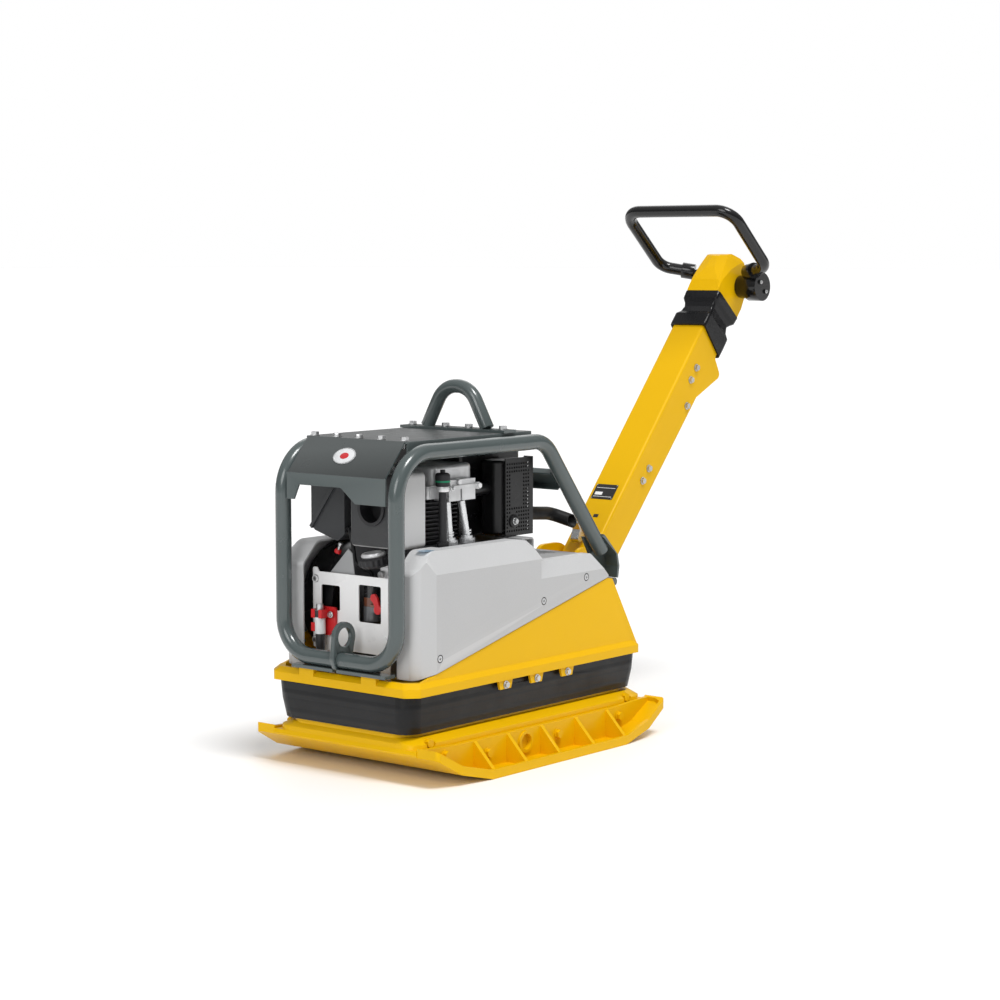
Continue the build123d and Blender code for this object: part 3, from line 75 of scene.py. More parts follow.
HANDLE_X, HANDLE_Z = joint_place("handle_tilt")[::2]
HUB_SCREW_SEAT = 0.128                      # Y of the drum's end, where its two screws sit
HUB_SCREW_OFFSETS = (0.013, -0.013)

FILLER_X, FILLER_Y = 0.262, 0.151           # axis of the oil filler
SEAL_Z, NECK_Z = 0.6826, 0.6605             # undersides of its green seal and of its bright neck ring
COVER_STICKER, STICKER_SIZE = (0.366, 0.1875, 0.534), (0.030, 0.034, 0.004)
GUARD_BOSS = (-0.003, 0.149, 0.569)         # foot of the boss on the muffler guard
BOSS_HEIGHT = 0.0045
TIE_BAR_STUD = (0.237, 0.1605, 0.667)

COVER_SCREWS = ((0.357, 0.286), (-0.027, 0.378), (-0.196, 0.419))   # X and Z on each side cover
COVER_SEAT = 0.2208                         # floor of the recess round a cover screw, from the middle plane
# outline of a dark ring of painted shadow in the recess round a cover screw
SCREW_SHADOW_RING = ((0.0076, 0), (0.0097, 0), (0.0097, 0.0029), (0.0076, 0.0029), (0.0076, 0))
COVER_FOOT_BOLT = (0.394, 0.151)            # X, and Y on each side
TRAY_TOP = 0.2166

SERVICE_SCREWS = ((0.380, -0.1445, 0.4445), (0.380, -0.147, 0.298))
CLIP_SCREW = (0.393, -0.087, 0.364)
PUMP_CAP, PUMP_CAP_AXIS = (0.372, 0.038, 0.486), (0.12, -0.08, 1)
PUMP_BLOCK, PUMP_BLOCK_SIZE = (0.330, 0.062, 0.462), (0.072, 0.046, 0.008)
PUMP_PORTS = ((0.022, 0.004, 0.015, 0.026), (-0.028, 0.002, 0.009, 0.022))   # place, radius and height
GUSSET_X, GUSSET_THICK = 0.372, 0.002
GUSSET_OUTLINE = ((-0.104, 0.462), (-0.026, 0.4575), (-0.033, 0.512), (-0.046, 0.522))   # Y and Z
DRAIN_TAP, DRAIN_TAP_AXIS = (0.351, -0.090, 0.531), (0, -0.42, -0.9)

YELLOW = (0.8, 0.458, 0.001)
FRAME_GREY = (0.068, 0.087, 0.087)
SKIRT_CREASES = ((0.172, 0.181), (0.128, 0.136))    # heights of the skirt's two long folds
SLEEVE_HEIGHTS, FITTING_HEIGHTS = (0.318, 0.3575), (0.374, 0.5)             # on the drain hose
FILTER_CUP_HEIGHTS, FILTER_BOWL_HEIGHTS = (0.3, 0.388), (0.3885, 0.409)     # on the fuel filter

# ---------------------------------------------------------------- camera, light and floor
CAMERA_PLACE = (4.5138, 3.8033, 1.2016)
CAMERA_HEADING = 219.3      # degrees from +X, anticlockwise from above
CAMERA_PITCH = -5.715
CAMERA_LENS, CAMERA_SENSOR = 87.05, 36.0
ROOM_LOW, ROOM_HIGH = 0.13, 0.78    # room light near the horizon and overhead
ROOM_FADE_START = -0.1
SUNS = (                            # name, heading, height and spread in degrees, power
    ("key", 76, 64, 20, 2.0),
    ("front_fill", 12, 26, 30, 0.8),
    ("rear_rim", 215, 35, 40, 0.35),
)
FLOOR_REACH = 200.0
FLOOR_DROP = 0.0005
FLOOR_WHITE = (0.95, 0.95, 0.95, 1)


def make_camera():
    """The main view, from the front left of the machine."""
    data = bpy.data.cameras.new("camera")
    data.lens = CAMERA_LENS
    data.sensor_width = CAMERA_SENSOR
    camera = bpy.data.objects.new("camera", data)
    bpy.context.collection.objects.link(camera)
    heading, pitch = math.radians(CAMERA_HEADING), math.radians(CAMERA_PITCH)
    flat = math.cos(pitch)
    looking = Vector((math.cos(heading) * flat, math.sin(heading) * flat, math.sin(pitch)))
    camera.location = CAMERA_PLACE
    camera.rotation_mode = "QUATERNION"
    camera.rotation_quaternion = looking.to_track_quat("-Z", "Y")
    bpy.context.scene.camera = camera


def sun_light(name, heading, height, spread, power):
    """A far soft light that shines from that heading and height, in degrees."""
    data = bpy.data.lights.new(name, "SUN")
    data.angle = math.radians(spread)
    data.energy = power
    light = bpy.data.objects.new(name, data)
    bpy.context.collection.objects.link(light)
    turn, rise = math.radians(heading), math.radians(height)
    source = Vector((math.cos(turn) * math.cos(rise), math.sin(turn) * math.cos(rise), math.sin(rise)))
    light.rotation_mode = "QUATERNION"
    light.rotation_quaternion = (-source).to_track_quat("-Z", "Y")


def make_studio():
    """White behind the machine; the room's own light is weak at the horizon and strong overhead."""
    world = bpy.data.worlds.new("studio")
    bpy.context.scene.world = world
    world.use_nodes = True
    tree = world.node_tree
    shown = tree.nodes["Background"]
    shown.inputs["Color"].default_value = (1, 1, 1, 1)
    lighting = tree.nodes.new("ShaderNodeBackground")
    coords = tree.nodes.new("ShaderNodeTexCoord")
    parts = tree.nodes.new("ShaderNodeSeparateXYZ")
    rise = tree.nodes.new("ShaderNodeMapRange")
    rise.inputs["From Min"].default_value = ROOM_FADE_START
    rise.inputs["To Min"].default_value = ROOM_LOW
    rise.inputs["To Max"].default_value = ROOM_HIGH
    path = tree.nodes.new("ShaderNodeLightPath")
    choose = tree.nodes.new("ShaderNodeMixShader")
    tree.links.new(coords.outputs["Generated"], parts.inputs["Vector"])
    tree.links.new(parts.outputs["Z"], rise.inputs["Value"])
    tree.links.new(rise.outputs["Result"], lighting.inputs["Strength"])
    tree.links.new(path.outputs["Is Camera Ray"], choose.inputs["Fac"])
    tree.links.new(lighting.outputs["Background"], choose.inputs[1])
    tree.links.new(shown.outputs["Background"], choose.inputs[2])
    tree.links.new(choose.outputs["Shader"], tree.nodes["World Output"].inputs["Surface"])
    for name, heading, height, spread, power in SUNS:
        sun_light(name, heading, height, spread, power)
    bpy.context.scene.view_settings.view_transform = "Standard"


def make_floor():
    """Plain pale floor, just under the base plate."""
    mesh = bpy.data.meshes.new("studio_floor")
    corners = [(sx * FLOOR_REACH, sy * FLOOR_REACH, 0) for sx, sy in ((-1, -1), (1, -1), (1, 1), (-1, 1))]
    mesh.from_pydata(corners, [], [(0, 1, 2, 3)])
    floor = bpy.data.objects.new("studio_floor", mesh)
    bpy.context.collection.objects.link(floor)
    floor.location.z = -FLOOR_DROP
    material = bpy.data.materials.new("studio_floor")
    material.use_nodes = True
    shader = material.node_tree.nodes["Principled BSDF"]
    shader.inputs["Base Color"].default_value = FLOOR_WHITE
    shader.inputs["Roughness"].default_value = 0.7
    shader.inputs["Specular IOR Level"].default_value = 0.2
    floor.data.materials.append(material)


# ---------------------------------------------------------------- material building
class Surface:
    """A procedural material, put together from noise layers in object space."""

    def __init__(self, name):
        self.material = bpy.data.materials.new(name)
        self.material.use_nodes = True
        self.tree = self.material.node_tree
        self.shader = self.tree.nodes["Principled BSDF"]
        self.coords = self.tree.nodes.new("ShaderNodeTexCoord").outputs["Object"]
        self.colour = None
        self.rough = None
        self.normal = None

    def node(self, kind, **values):
        made = self.tree.nodes.new(kind)
        for key, value in values.items():
            setattr(made, key, value)
        return made

    def link(self, output, socket):
        self.tree.links.new(output, socket)

    def noise(self, scale, detail=4.0, stretch=(1, 1, 1)):
        """Grey noise between about 0 and 1; scale is in features per metre."""
        mapping = self.node("ShaderNodeMapping")
        mapping.inputs["Scale"].default_value = stretch
        self.link(self.coords, mapping.inputs["Vector"])
        noise = self.node("ShaderNodeTexNoise")
        noise.inputs["Scale"].default_value = scale
        noise.inputs["Detail"].default_value = detail
        self.link(mapping.outputs["Vector"], noise.inputs["Vector"])
        return noise.outputs["Fac"]

    def ramp(self, factor, low, high, start=0.0, end=1.0):
        """Maps factor from low..high to start..end, clamped."""
        step = self.node("ShaderNodeMapRange")
        for key, value in (("From Min", low), ("From Max", high), ("To Min", start), ("To Max", end)):
            step.inputs[key].default_value = value
        self.link(factor, step.inputs["Value"])
        return step.outputs["Result"]

    def tint(self, factor, shade):
        """Mixes the present colour towards shade by factor."""
        mix = self.node("ShaderNodeMix", data_type="RGBA")
        self.link(factor, mix.inputs["Factor"])
        if isinstance(self.colour, tuple):
            mix.inputs["A"].default_value = (*self.colour, 1)
        else:
            self.link(self.colour, mix.inputs["A"])
        mix.inputs["B"].default_value = (*shade, 1)
        self.colour = mix.outputs["Result"]

    def rough_from(self, factor, low, high):
        self.rough = self.ramp(factor, 0.3, 0.7, low, high)

    def bump(self, height, strength, distance):
        node = self.node("ShaderNodeBump")
        node.inputs["Strength"].default_value = strength
        node.inputs["Distance"].default_value = distance
        self.link(height, node.inputs["Height"])
        if self.normal is not None:
            self.link(self.normal, node.inputs["Normal"])
        self.normal = node.outputs["Normal"]

    def edges(self, low, high):
        """Near 1 on convex edges and 0 elsewhere."""
        geometry = self.node("ShaderNodeNewGeometry")
        return self.ramp(geometry.outputs["Pointiness"], low, high)

    def facing(self, axis, low, high):
        """Near 1 on faces whose normal points along that axis."""
        geometry = self.node("ShaderNodeNewGeometry")
        parts = self.node("ShaderNodeSeparateXYZ")
        self.link(geometry.outputs["Normal"], parts.inputs["Vector"])
        return self.ramp(parts.outputs[axis], low, high)

    def band(self, axis, low, high, soft=0.0004):
        """1 between two places along an axis and 0 outside them."""
        parts = self.node("ShaderNodeSeparateXYZ")
        self.link(self.coords, parts.inputs["Vector"])
        rise = self.ramp(parts.outputs[axis], low - soft, low + soft)
        fall = self.ramp(parts.outputs[axis], high - soft, high + soft, 1.0, 0.0)
        both = self.node("ShaderNodeMath", operation="MULTIPLY")
        self.link(rise, both.inputs[0])
        self.link(fall, both.inputs[1])
        return both.outputs["Value"]

    def finish(self, metallic=0.0, coat=0.0, coat_rough=0.1, specular=0.5):
        if isinstance(self.colour, tuple):
            self.shader.inputs["Base Color"].default_value = (*self.colour, 1)
        else:
            self.link(self.colour, self.shader.inputs["Base Color"])
        if self.rough is not None:
            self.link(self.rough, self.shader.inputs["Roughness"])
        if self.normal is not None:
            self.link(self.normal, self.shader.inputs["Normal"])
        self.shader.inputs["Metallic"].default_value = metallic
        self.shader.inputs["Coat Weight"].default_value = coat
        self.shader.inputs["Coat Roughness"].default_value = coat_rough
        self.shader.inputs["Specular IOR Level"].default_value = specular
        return self.material


def scaled(colour, factor):
    """The colour made lighter or darker by that factor."""
    return tuple(min(1.0, channel * factor) for channel in colour)


def paint(name, colour, rough=(0.3, 0.42), coat=0.25, edge_highlight=0.35, peel=0.12, specular=0.5):
    """Sprayed paint: slight colour drift, orange peel, a painted highlight on convex edges and faint dust."""
    s = Surface(name)
    s.colour = colour
    s.tint(s.ramp(s.noise(2.2, 3), 0.35, 0.7, 0.0, 0.5), scaled(colour, 0.9))
    s.tint(s.ramp(s.noise(160, 5), 0.6, 0.75, 0.0, 0.1), scaled(colour, 1.15))
    # painted highlight on the convex edges
    s.tint(s.ramp(s.edges(0.52, 0.6), 0, 1, 0.0, edge_highlight), scaled(colour, 1.3))
    s.rough_from(s.noise(14, 5), *rough)
    s.bump(s.noise(420, 2), peel, 0.0006)
    return s.finish(coat=coat, coat_rough=0.12, specular=specular)


def enamel(name, colour):
    """Fired badge enamel: glassy, with only a faint painted highlight on its edges."""
    return paint(name, colour, rough=(0.1, 0.2), coat=0.6, edge_highlight=0.1, peel=0.03)


def label(name, colour, rough):
    """Printed label foil."""
    return paint(name, colour, rough, coat=0.2, edge_highlight=0.2, peel=0.04)


def moulded(name, colour, rough=(0.48, 0.62), grain=900, depth=0.25, specular=0.4):
    """Moulded plastic with a fine spark-eroded grain and a painted highlight on its convex edges."""
    s = Surface(name)
    s.colour = colour
    s.tint(s.ramp(s.noise(3.0, 3), 0.35, 0.7, 0.0, 0.5), scaled(colour, 0.9))
    s.tint(s.ramp(s.noise(grain, 2), 0.55, 0.8, 0.0, 0.25), scaled(colour, 1.25))
    s.tint(s.ramp(s.edges(0.52, 0.6), 0, 1, 0.0, 0.3), scaled(colour, 1.3))
    s.rough_from(s.noise(20, 4), *rough)
    s.bump(s.noise(grain, 3), depth, 0.0005)
    return s.finish(specular=specular)


def rubber(name, colour=(0.008, 0.0082, 0.009), rough=(0.3, 0.46), creases=()):
    """Rubber with a soft bloom and mould texture; creases are heights of long soft folds."""
    s = Surface(name)
    s.colour = colour
    s.tint(s.ramp(s.noise(4.0, 5), 0.45, 0.75, 0.0, 0.6), scaled(colour, 1.7))
    s.tint(s.ramp(s.noise(900, 3), 0.6, 0.8, 0.0, 0.4), scaled(colour, 2.2))
    s.rough_from(s.noise(18, 5), *rough)
    s.bump(s.noise(60, 3), 0.12, 0.002)
    s.bump(s.noise(1100, 2), 0.18, 0.0004)
    for low, high in creases:
        s.bump(s.band("Z", low, high, 0.006), 0.4, 0.004)
    return s.finish(specular=0.28)


def bare_metal(name, colour, rough=(0.22, 0.4), stretch=(1, 1, 1), scratch=0.15):
    """Machined or plated steel with fine directional marks."""
    s = Surface(name)
    s.colour = colour
    s.tint(s.ramp(s.noise(30, 5), 0.4, 0.75, 0.0, 0.6), scaled(colour, 0.7))
    s.tint(s.ramp(s.noise(700, 3, stretch), 0.55, 0.75, 0.0, 0.4), scaled(colour, 1.2))
    s.rough_from(s.noise(80, 4, stretch), *rough)
    s.bump(s.noise(900, 2, stretch), scratch, 0.0003)
    return s.finish(metallic=1.0)


def bright_tube():
    """Satin bright tube: mostly white metal, so that it doesn't only mirror the dark engine bay."""
    s = Surface("bright_tube")
    s.colour = (0.8, 0.81, 0.82)
    s.tint(s.ramp(s.noise(25, 4, (4, 4, 1)), 0.4, 0.75, 0.0, 0.3), (0.5, 0.51, 0.52))
    s.rough_from(s.noise(60, 4, (4, 4, 1)), 0.18, 0.3)
    s.bump(s.noise(500, 2), 0.02, 0.0002)
    return s.finish(metallic=0.7)


def casting(name, colour, rough=(0.45, 0.65), metallic=0.85):
    """Sand-cast or die-cast metal: pitted, darker in random patches, with a painted highlight on its convex
    edges.
    """
    s = Surface(name)
    s.colour = colour
    s.tint(s.ramp(s.noise(18, 6), 0.4, 0.75, 0.0, 0.7), scaled(colour, 0.6))
    s.tint(s.ramp(s.edges(0.51, 0.58), 0, 1, 0.0, 0.5), scaled(colour, 1.5))
    s.rough_from(s.noise(60, 5), *rough)
    s.bump(s.noise(260, 5), 0.35, 0.0012)
    return s.finish(metallic=metallic)


def roof_paint():
    """The frame's grey on folded sheet: painted shade on its sloping upward faces, painted light, more
    neutral, on its flat tops, and a painted highlight on its convex edges.
    """
    s = Surface("roof_grey_paint")
    s.colour = FRAME_GREY
    s.tint(s.facing("Z", 0.35, 0.6), (0.036, 0.040, 0.040))
    s.tint(s.facing("Z", 0.85, 0.97), (0.085, 0.087, 0.088))
    s.tint(s.ramp(s.noise(2.2, 3), 0.35, 0.7, 0.0, 0.25), (0.06, 0.068, 0.068))
    s.tint(s.ramp(s.edges(0.51, 0.56), 0, 1, 0.0, 0.3), (0.2, 0.22, 0.22))
    s.rough_from(s.noise(14, 5), 0.26, 0.4)
    s.bump(s.noise(420, 2), 0.1, 0.0006)
    return s.finish(coat=0.08, coat_rough=0.12, specular=0.3)


def filter_box_plastic():
    """Air filter box: painted shade on its front face, and the lighter grey on its sides."""
    s = Surface("filter_box_moulding")
    s.colour = (0.58, 0.58, 0.58)
    s.tint(s.facing("X", 0.5, 0.85), (0.046, 0.047, 0.049))
    s.tint(s.ramp(s.noise(900, 2), 0.55, 0.8, 0.0, 0.25), (0.3, 0.3, 0.3))
    s.rough_from(s.noise(20, 4), 0.42, 0.58)
    s.bump(s.noise(700, 3), 0.2, 0.0005)
    return s.finish(specular=0.35)


def cover_plastic():
    """Silver-grey cover moulding, with painted light on its sloping and top faces and a painted highlight on
    its convex edges.
    """
    s = Surface("cover_grey_grain")
    s.colour = (0.5, 0.503, 0.507)
    s.tint(s.facing("Z", 0.12, 0.45), (0.66, 0.663, 0.667))
    s.tint(s.ramp(s.noise(3.0, 3), 0.35, 0.7, 0.0, 0.35), (0.45, 0.452, 0.456))
    s.tint(s.ramp(s.noise(1100, 2), 0.5, 0.75, 0.0, 0.3), (0.34, 0.342, 0.345))
    s.tint(s.ramp(s.edges(0.52, 0.6), 0, 1, 0.0, 0.3), (0.75, 0.75, 0.75))
    s.rough_from(s.noise(20, 4), 0.38, 0.52)
    s.bump(s.noise(900, 3), 0.3, 0.0005)
    return s.finish(specular=0.4)


def drain_hose_stack():
    """Rubber hose below, a white sleeve, and a plated fitting on top."""
    s = Surface("drain_hose_stack")
    s.colour = (0.02, 0.02, 0.022)
    sleeve, fitting = s.band("Z", *SLEEVE_HEIGHTS), s.band("Z", *FITTING_HEIGHTS)
    s.tint(sleeve, (0.78, 0.79, 0.8))
    s.tint(fitting, (0.62, 0.63, 0.64))
    s.tint(s.ramp(s.noise(500, 3), 0.6, 0.8, 0.0, 0.3), (0.3, 0.3, 0.3))
    s.rough_from(s.noise(40, 4), 0.3, 0.5)
    s.bump(s.noise(800, 2), 0.12, 0.0004)
    made = s.finish()
    s.link(fitting, s.shader.inputs["Metallic"])
    return made


def fuel_filter_stack():
    """Black head, brown fuel bowl and grey cup."""
    s = Surface("fuel_filter_stack")
    s.colour = (0.02, 0.02, 0.022)
    s.tint(s.band("Z", *FILTER_CUP_HEIGHTS), (0.105, 0.108, 0.112))
    s.tint(s.band("Z", *FILTER_BOWL_HEIGHTS), (0.16, 0.055, 0.028))
    s.tint(s.ramp(s.noise(60, 4), 0.5, 0.75, 0.0, 0.3), (0.05, 0.04, 0.035))
    s.rough_from(s.noise(30, 4), 0.15, 0.3)
    s.bump(s.noise(300, 2), 0.05, 0.0004)
    return s.finish(coat=0.4, coat_rough=0.08)


def make_materials():
    return {
        "yellow": paint("yellow_paint", YELLOW, rough=(0.3, 0.4), coat=0.04, edge_highlight=0.12, peel=0.05,
                        specular=0.14),
        "frame": paint("frame_grey_paint", FRAME_GREY, rough=(0.18, 0.28), coat=0.5, edge_highlight=0.25, peel=0.06),
        "roof": roof_paint(),
        "cover": cover_plastic(),
        "deck": moulded("deck_grey_grain", (0.36, 0.362, 0.365), rough=(0.42, 0.56)),
        "rubber": rubber("black_rubber"),
        "skirt": rubber("skirt_rubber", creases=SKIRT_CREASES),
        "gloss_black": paint("gloss_black_coating", (0.004, 0.004, 0.0045), rough=(0.16, 0.26), coat=0.25,
                             edge_highlight=0.1, peel=0.04, specular=0.4),
        "boot": rubber("boot_rubber", (0.006, 0.006, 0.007), rough=(0.2, 0.32)),
        "engine_black": paint("engine_black_enamel", (0.006, 0.006, 0.0065), rough=(0.22, 0.38), coat=0.1,
                              edge_highlight=0.5, specular=0.35),
        "exhaust_black": paint("heat_proof_black", (0.008, 0.008, 0.0085), rough=(0.5, 0.65), coat=0.0,
                               edge_highlight=0.3, specular=0.22),
        "black_plastic": moulded("black_moulding", (0.02, 0.02, 0.022), rough=(0.35, 0.55), grain=700),
        "filter_grey": filter_box_plastic(),
        "drain": drain_hose_stack(),
        "fuel_filter": fuel_filter_stack(),
        "badge_white": enamel("badge_white_enamel", (0.72, 0.73, 0.74)),
        "badge_red": enamel("badge_red_enamel", (0.55, 0.012, 0.018)),
        "label_black": label("label_black", (0.012, 0.012, 0.013), (0.25, 0.4)),
        "label_blue": label("label_pale_blue", (0.33, 0.47, 0.6), (0.2, 0.35)),
        "green": moulded("green_ring", (0.0, 0.22, 0.1), rough=(0.3, 0.45), grain=600, depth=0.1),
        "tank": moulded("tank_black_moulding", (0.045, 0.047, 0.05), rough=(0.4, 0.55), grain=500),
        "zinc": bare_metal("zinc_plate", (0.62, 0.625, 0.63)),
        "steel": bare_metal("machined_steel", (0.45, 0.45, 0.46), stretch=(1, 12, 1)),
        "chromed": bright_tube(),
        "alloy": casting("die_cast_alloy", (0.72, 0.725, 0.73), rough=(0.28, 0.45), metallic=0.6),
        "iron": casting("dark_iron", (0.11, 0.11, 0.115), rough=(0.5, 0.7)),
        "white": paint("light_panel_paint", (0.93, 0.93, 0.93), rough=(0.25, 0.38), coat=0.2, edge_highlight=0.1),
        "grey_sheet": paint("grey_sheet", (0.33, 0.335, 0.34), rough=(0.3, 0.42), coat=0.1, edge_highlight=0.15),
        "red": moulded("red_moulding", (0.62, 0.018, 0.022), rough=(0.28, 0.42), grain=600, depth=0.1),
    }


# which finish each CAD node wears
NODE_FINISH = {
    "yellow": ("base_plate", "left_wing_plate", "right_wing_plate", "wing_bolts", "console_tray", "pole",
               "pole_head"),
    "frame": ("cage_tube", "cage_foot_plate", "cage_brackets", "tow_eye", "rear_cross_member",
              "lifting_hoop"),
    "roof": ("top_plate", "front_visor"),
    "cover": ("left_side_cover", "right_side_cover"),
    "deck": ("rear_deck",),
    "rubber": ("rubber_buffers", "v_belt", "fuel_hose"),
    "skirt": ("skirt",),
    "gloss_black": ("handle_loop", "handle_hub"),
    "boot": ("rubber_boot",),
    "drain": ("drain_hose",),
    "fuel_filter": ("fuel_filter",),
    "engine_black": ("muffler", "muffler_guard", "fan_housing"),
    "exhaust_black": ("exhaust_pipe",),
    "black_plastic": ("air_intake", "oil_filler_tube", "oil_filler_cap", "tank_cap"),
    "filter_grey": ("air_filter_box",),
    "tank": ("fuel_tank",),
    "zinc": ("skirt_screws", "cover_screws", "roof_bolts", "pole_bolts", "pole_lock_lever"),
    "steel": ("exciter_bearings", "front_exciter_shaft", "rear_exciter_shaft", "front_timing_gear",
              "rear_timing_gear", "crankshaft", "pole_pivot_pin"),
    "chromed": ("pushrod_tubes",),
    "alloy": ("cylinder_head",),
    "iron": ("crankcase", "exciter_housing", "exciter_pulley", "clutch_pulley", "flywheel",
             "finned_cylinder"),
    "white": ("service_plate",),
    "red": ("hose_clip", "fuel_tap_lever"),
}

# how wide each node's edges are rounded, for the nodes that have rounded edges
EDGE_WIDTH = {
    "base_plate": 0.004, "left_wing_plate": 0.0025, "right_wing_plate": 0.0025, "console_tray": 0.0022,
    "left_side_cover": 0.004, "right_side_cover": 0.004, "top_plate": 0.0012, "front_visor": 0.0015,
    "tow_eye": 0.002, "cage_brackets": 0.0015, "rear_cross_member": 0.0012, "rear_deck": 0.001,
    "service_plate": 0.0006, "cylinder_head": 0.0018, "crankcase": 0.003, "air_filter_box": 0.001,
    "pole": 0.0016, "pole_head": 0.005, "rubber_boot": 0.0025, "handle_hub": 0.0015, "skirt": 0.0015,
    "hose_clip": 0.001, "lifting_hoop": 0.0012, "fuel_tank": 0.0025, "fuel_tap_lever": 0.001,
    "pole_lock_lever": 0.001, "exciter_housing": 0.002, "roof_bolts": 0.0005, "pole_bolts": 0.0005,
    "wing_bolts": 0.0006, "skirt_screws": 0.0005, "cover_screws": 0.0005, "cage_foot_plate": 0.001,
}

SEAM_GAP = 0.00002  # vertices of a CAD mesh that lie closer than this are one
SHARP_EDGE = 32     # least angle between faces that counts as an edge, degrees
SHALLOW_EDGES = {"pole_head": 9, "left_side_cover": 14, "right_side_cover": 14}     # nodes with a smaller one


def soften_edges(node, width, least_angle):
    """Rounds the edges of a CAD node with modifiers, which leave its mesh alone."""
    weld = node.modifiers.new("join_seams", "WELD")
    weld.merge_threshold = SEAM_GAP
    bevel = node.modifiers.new("rounded_edges", "BEVEL")
    bevel.width = width
    bevel.segments = 2
    bevel.limit_method = "ANGLE"
    bevel.angle_limit = math.radians(least_angle)
    bevel.harden_normals = False
    bevel.use_clamp_overlap = True


def dress_cad_nodes(finishes):
    """Gives each CAD node its finish and its rounded edges."""
    for finish, names in NODE_FINISH.items():
        for name in names:
            node = NODES[name]
            node.data.materials.clear()
            node.data.materials.append(finishes[finish])
            if name in EDGE_WIDTH:
                soften_edges(node, EDGE_WIDTH[name], SHALLOW_EDGES.get(name, SHARP_EDGE))


# ---------------------------------------------------------------- small pieces that only the looks need
def facing_matrix(place, normal, up=UP):
    """Placement whose local Z is the normal and whose local Y is as near as can be to up."""
    z = Vector(normal).normalized()
    x = Vector(up).cross(z)
    x = x.normalized() if x.length > 1e-6 else Vector((0, 1, 0))
    y = z.cross(x)
    turn = Matrix((x, y, z)).transposed().to_4x4()
    return Matrix.Translation(Vector(place)) @ turn


def finish_piece(name, bm, finish, body):
    """Turns the built mesh into a named piece that rides on a body."""
    mesh = bpy.data.meshes.new(name)
    bmesh.ops.recalc_face_normals(bm, faces=bm.faces)
    bm.to_mesh(mesh)
    bm.free()
    mesh.shade_smooth()
    mesh.set_sharp_from_angle(angle=math.radians(SMOOTH_ANGLE))
    mesh.materials.append(finish)
    piece = bpy.data.objects.new(name, mesh)
    bpy.context.collection.objects.link(piece)
    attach(piece, body)


def add_slab(bm, outline, low, high, where, edge=0.0004):
    """Adds a prism on an outline in local X and Y, from low to high along local Z, its top rim rounded."""
    bottom = [bm.verts.new(where @ Vector((x, y, low))) for x, y in outline]
    top = [bm.verts.new(where @ Vector((x, y, high))) for x, y in outline]
    bm.faces.new(bottom[::-1])
    cap = bm.faces.new(top)
    for index in range(len(outline)):
        after = (index + 1) % len(outline)
        bm.faces.new((bottom[index], bottom[after], top[after], top[index]))
    rim = list(cap.edges)
    bmesh.ops.bevel(bm, geom=rim, offset=edge, segments=2, affect="EDGES", clamp_overlap=True)


def add_lathe(bm, profile, where, segments=40, ribs=0, rib_depth=0.0):
    """Adds a solid of revolution about local Z.

    The profile is (radius, height) from axis to axis, or a closed outline for a ring.
    With ribs, every second strip round it is smaller by the share rib_depth.
    """
    rings = []
    for radius, height in profile:
        if radius == 0:
            rings.append([bm.verts.new(where @ Vector((0, 0, height)))])
            continue
        ring = []
        for index in range(segments):
            angle = 2 * math.pi * index / segments
            hollow = ribs and (index * ribs // segments) % 2
            reach = radius * (1 - rib_depth) if hollow else radius
            spot = Vector((reach * math.cos(angle), reach * math.sin(angle), height))
            ring.append(bm.verts.new(where @ spot))
        rings.append(ring)
    for low, high in zip(rings, rings[1:]):
        for index in range(segments):
            after = (index + 1) % segments
            if len(low) == 1:
                bm.faces.new((low[0], high[index], high[after]))
            elif len(high) == 1:
                bm.faces.new((low[index], low[after], high[0]))
            else:
                bm.faces.new((low[index], low[after], high[after], high[index]))


def disc_profile(radius, low, high, edge=0.0006):
    """Outline of a disc whose upper edge is rounded."""
    return [(0, low), (radius, low), (radius, high - edge), (radius - 0.4 * edge, high - 0.3 * edge),
            (radius - edge, high), (0, high)]


def rounded_rectangle(width, height, corner, steps=4):
    """Outline round the origin, its corners in that many steps each."""
    points = []
    for turn, (sx, sy) in enumerate(((1, 1), (-1, 1), (-1, -1), (1, -1))):
        for step in range(steps + 1):
            angle = math.pi / 2 * (turn + step / steps)
            points.append((sx * (width / 2 - corner) + corner * math.cos(angle),
                           sy * (height / 2 - corner) + corner * math.sin(angle)))
    return points


def hexagon(flats):
    """Outline of a bolt head from its width across flats."""
    radius = flats / math.sqrt(3)
    return [(radius * math.cos(math.pi / 3 * k), radius * math.sin(math.pi / 3 * k)) for k in range(6)]


def turned_piece(name, profile, where, finish, body, record_slot, **lathe):
    """A piece that is one solid of revolution."""
    bm = bmesh.new()
    add_lathe(bm, profile, where, **lathe)
    finish_piece(name, bm, finish, body)


def slab_piece(name, outline, low, high, where, finish, body, record_slot, **slab):
    """A piece that is one prism."""
    bm = bmesh.new()
    add_slab(bm, outline, low, high, where, **slab)
    finish_piece(name, bm, finish, body)


def bolts(name, places, normal, flats, washer, body, finish):
    """Washers with domed hexagon heads on one flat face: width across flats and the washer's radius."""
    bm = bmesh.new()
    for place in places:
        where = facing_matrix(place, normal)
        add_lathe(bm, disc_profile(washer, 0, WASHER_THICK), where)
        add_slab(bm, hexagon(flats), WASHER_THICK, WASHER_THICK + HEAD_SHARE * flats, where, edge=0.0008)
    finish_piece(name, bm, finish, body)


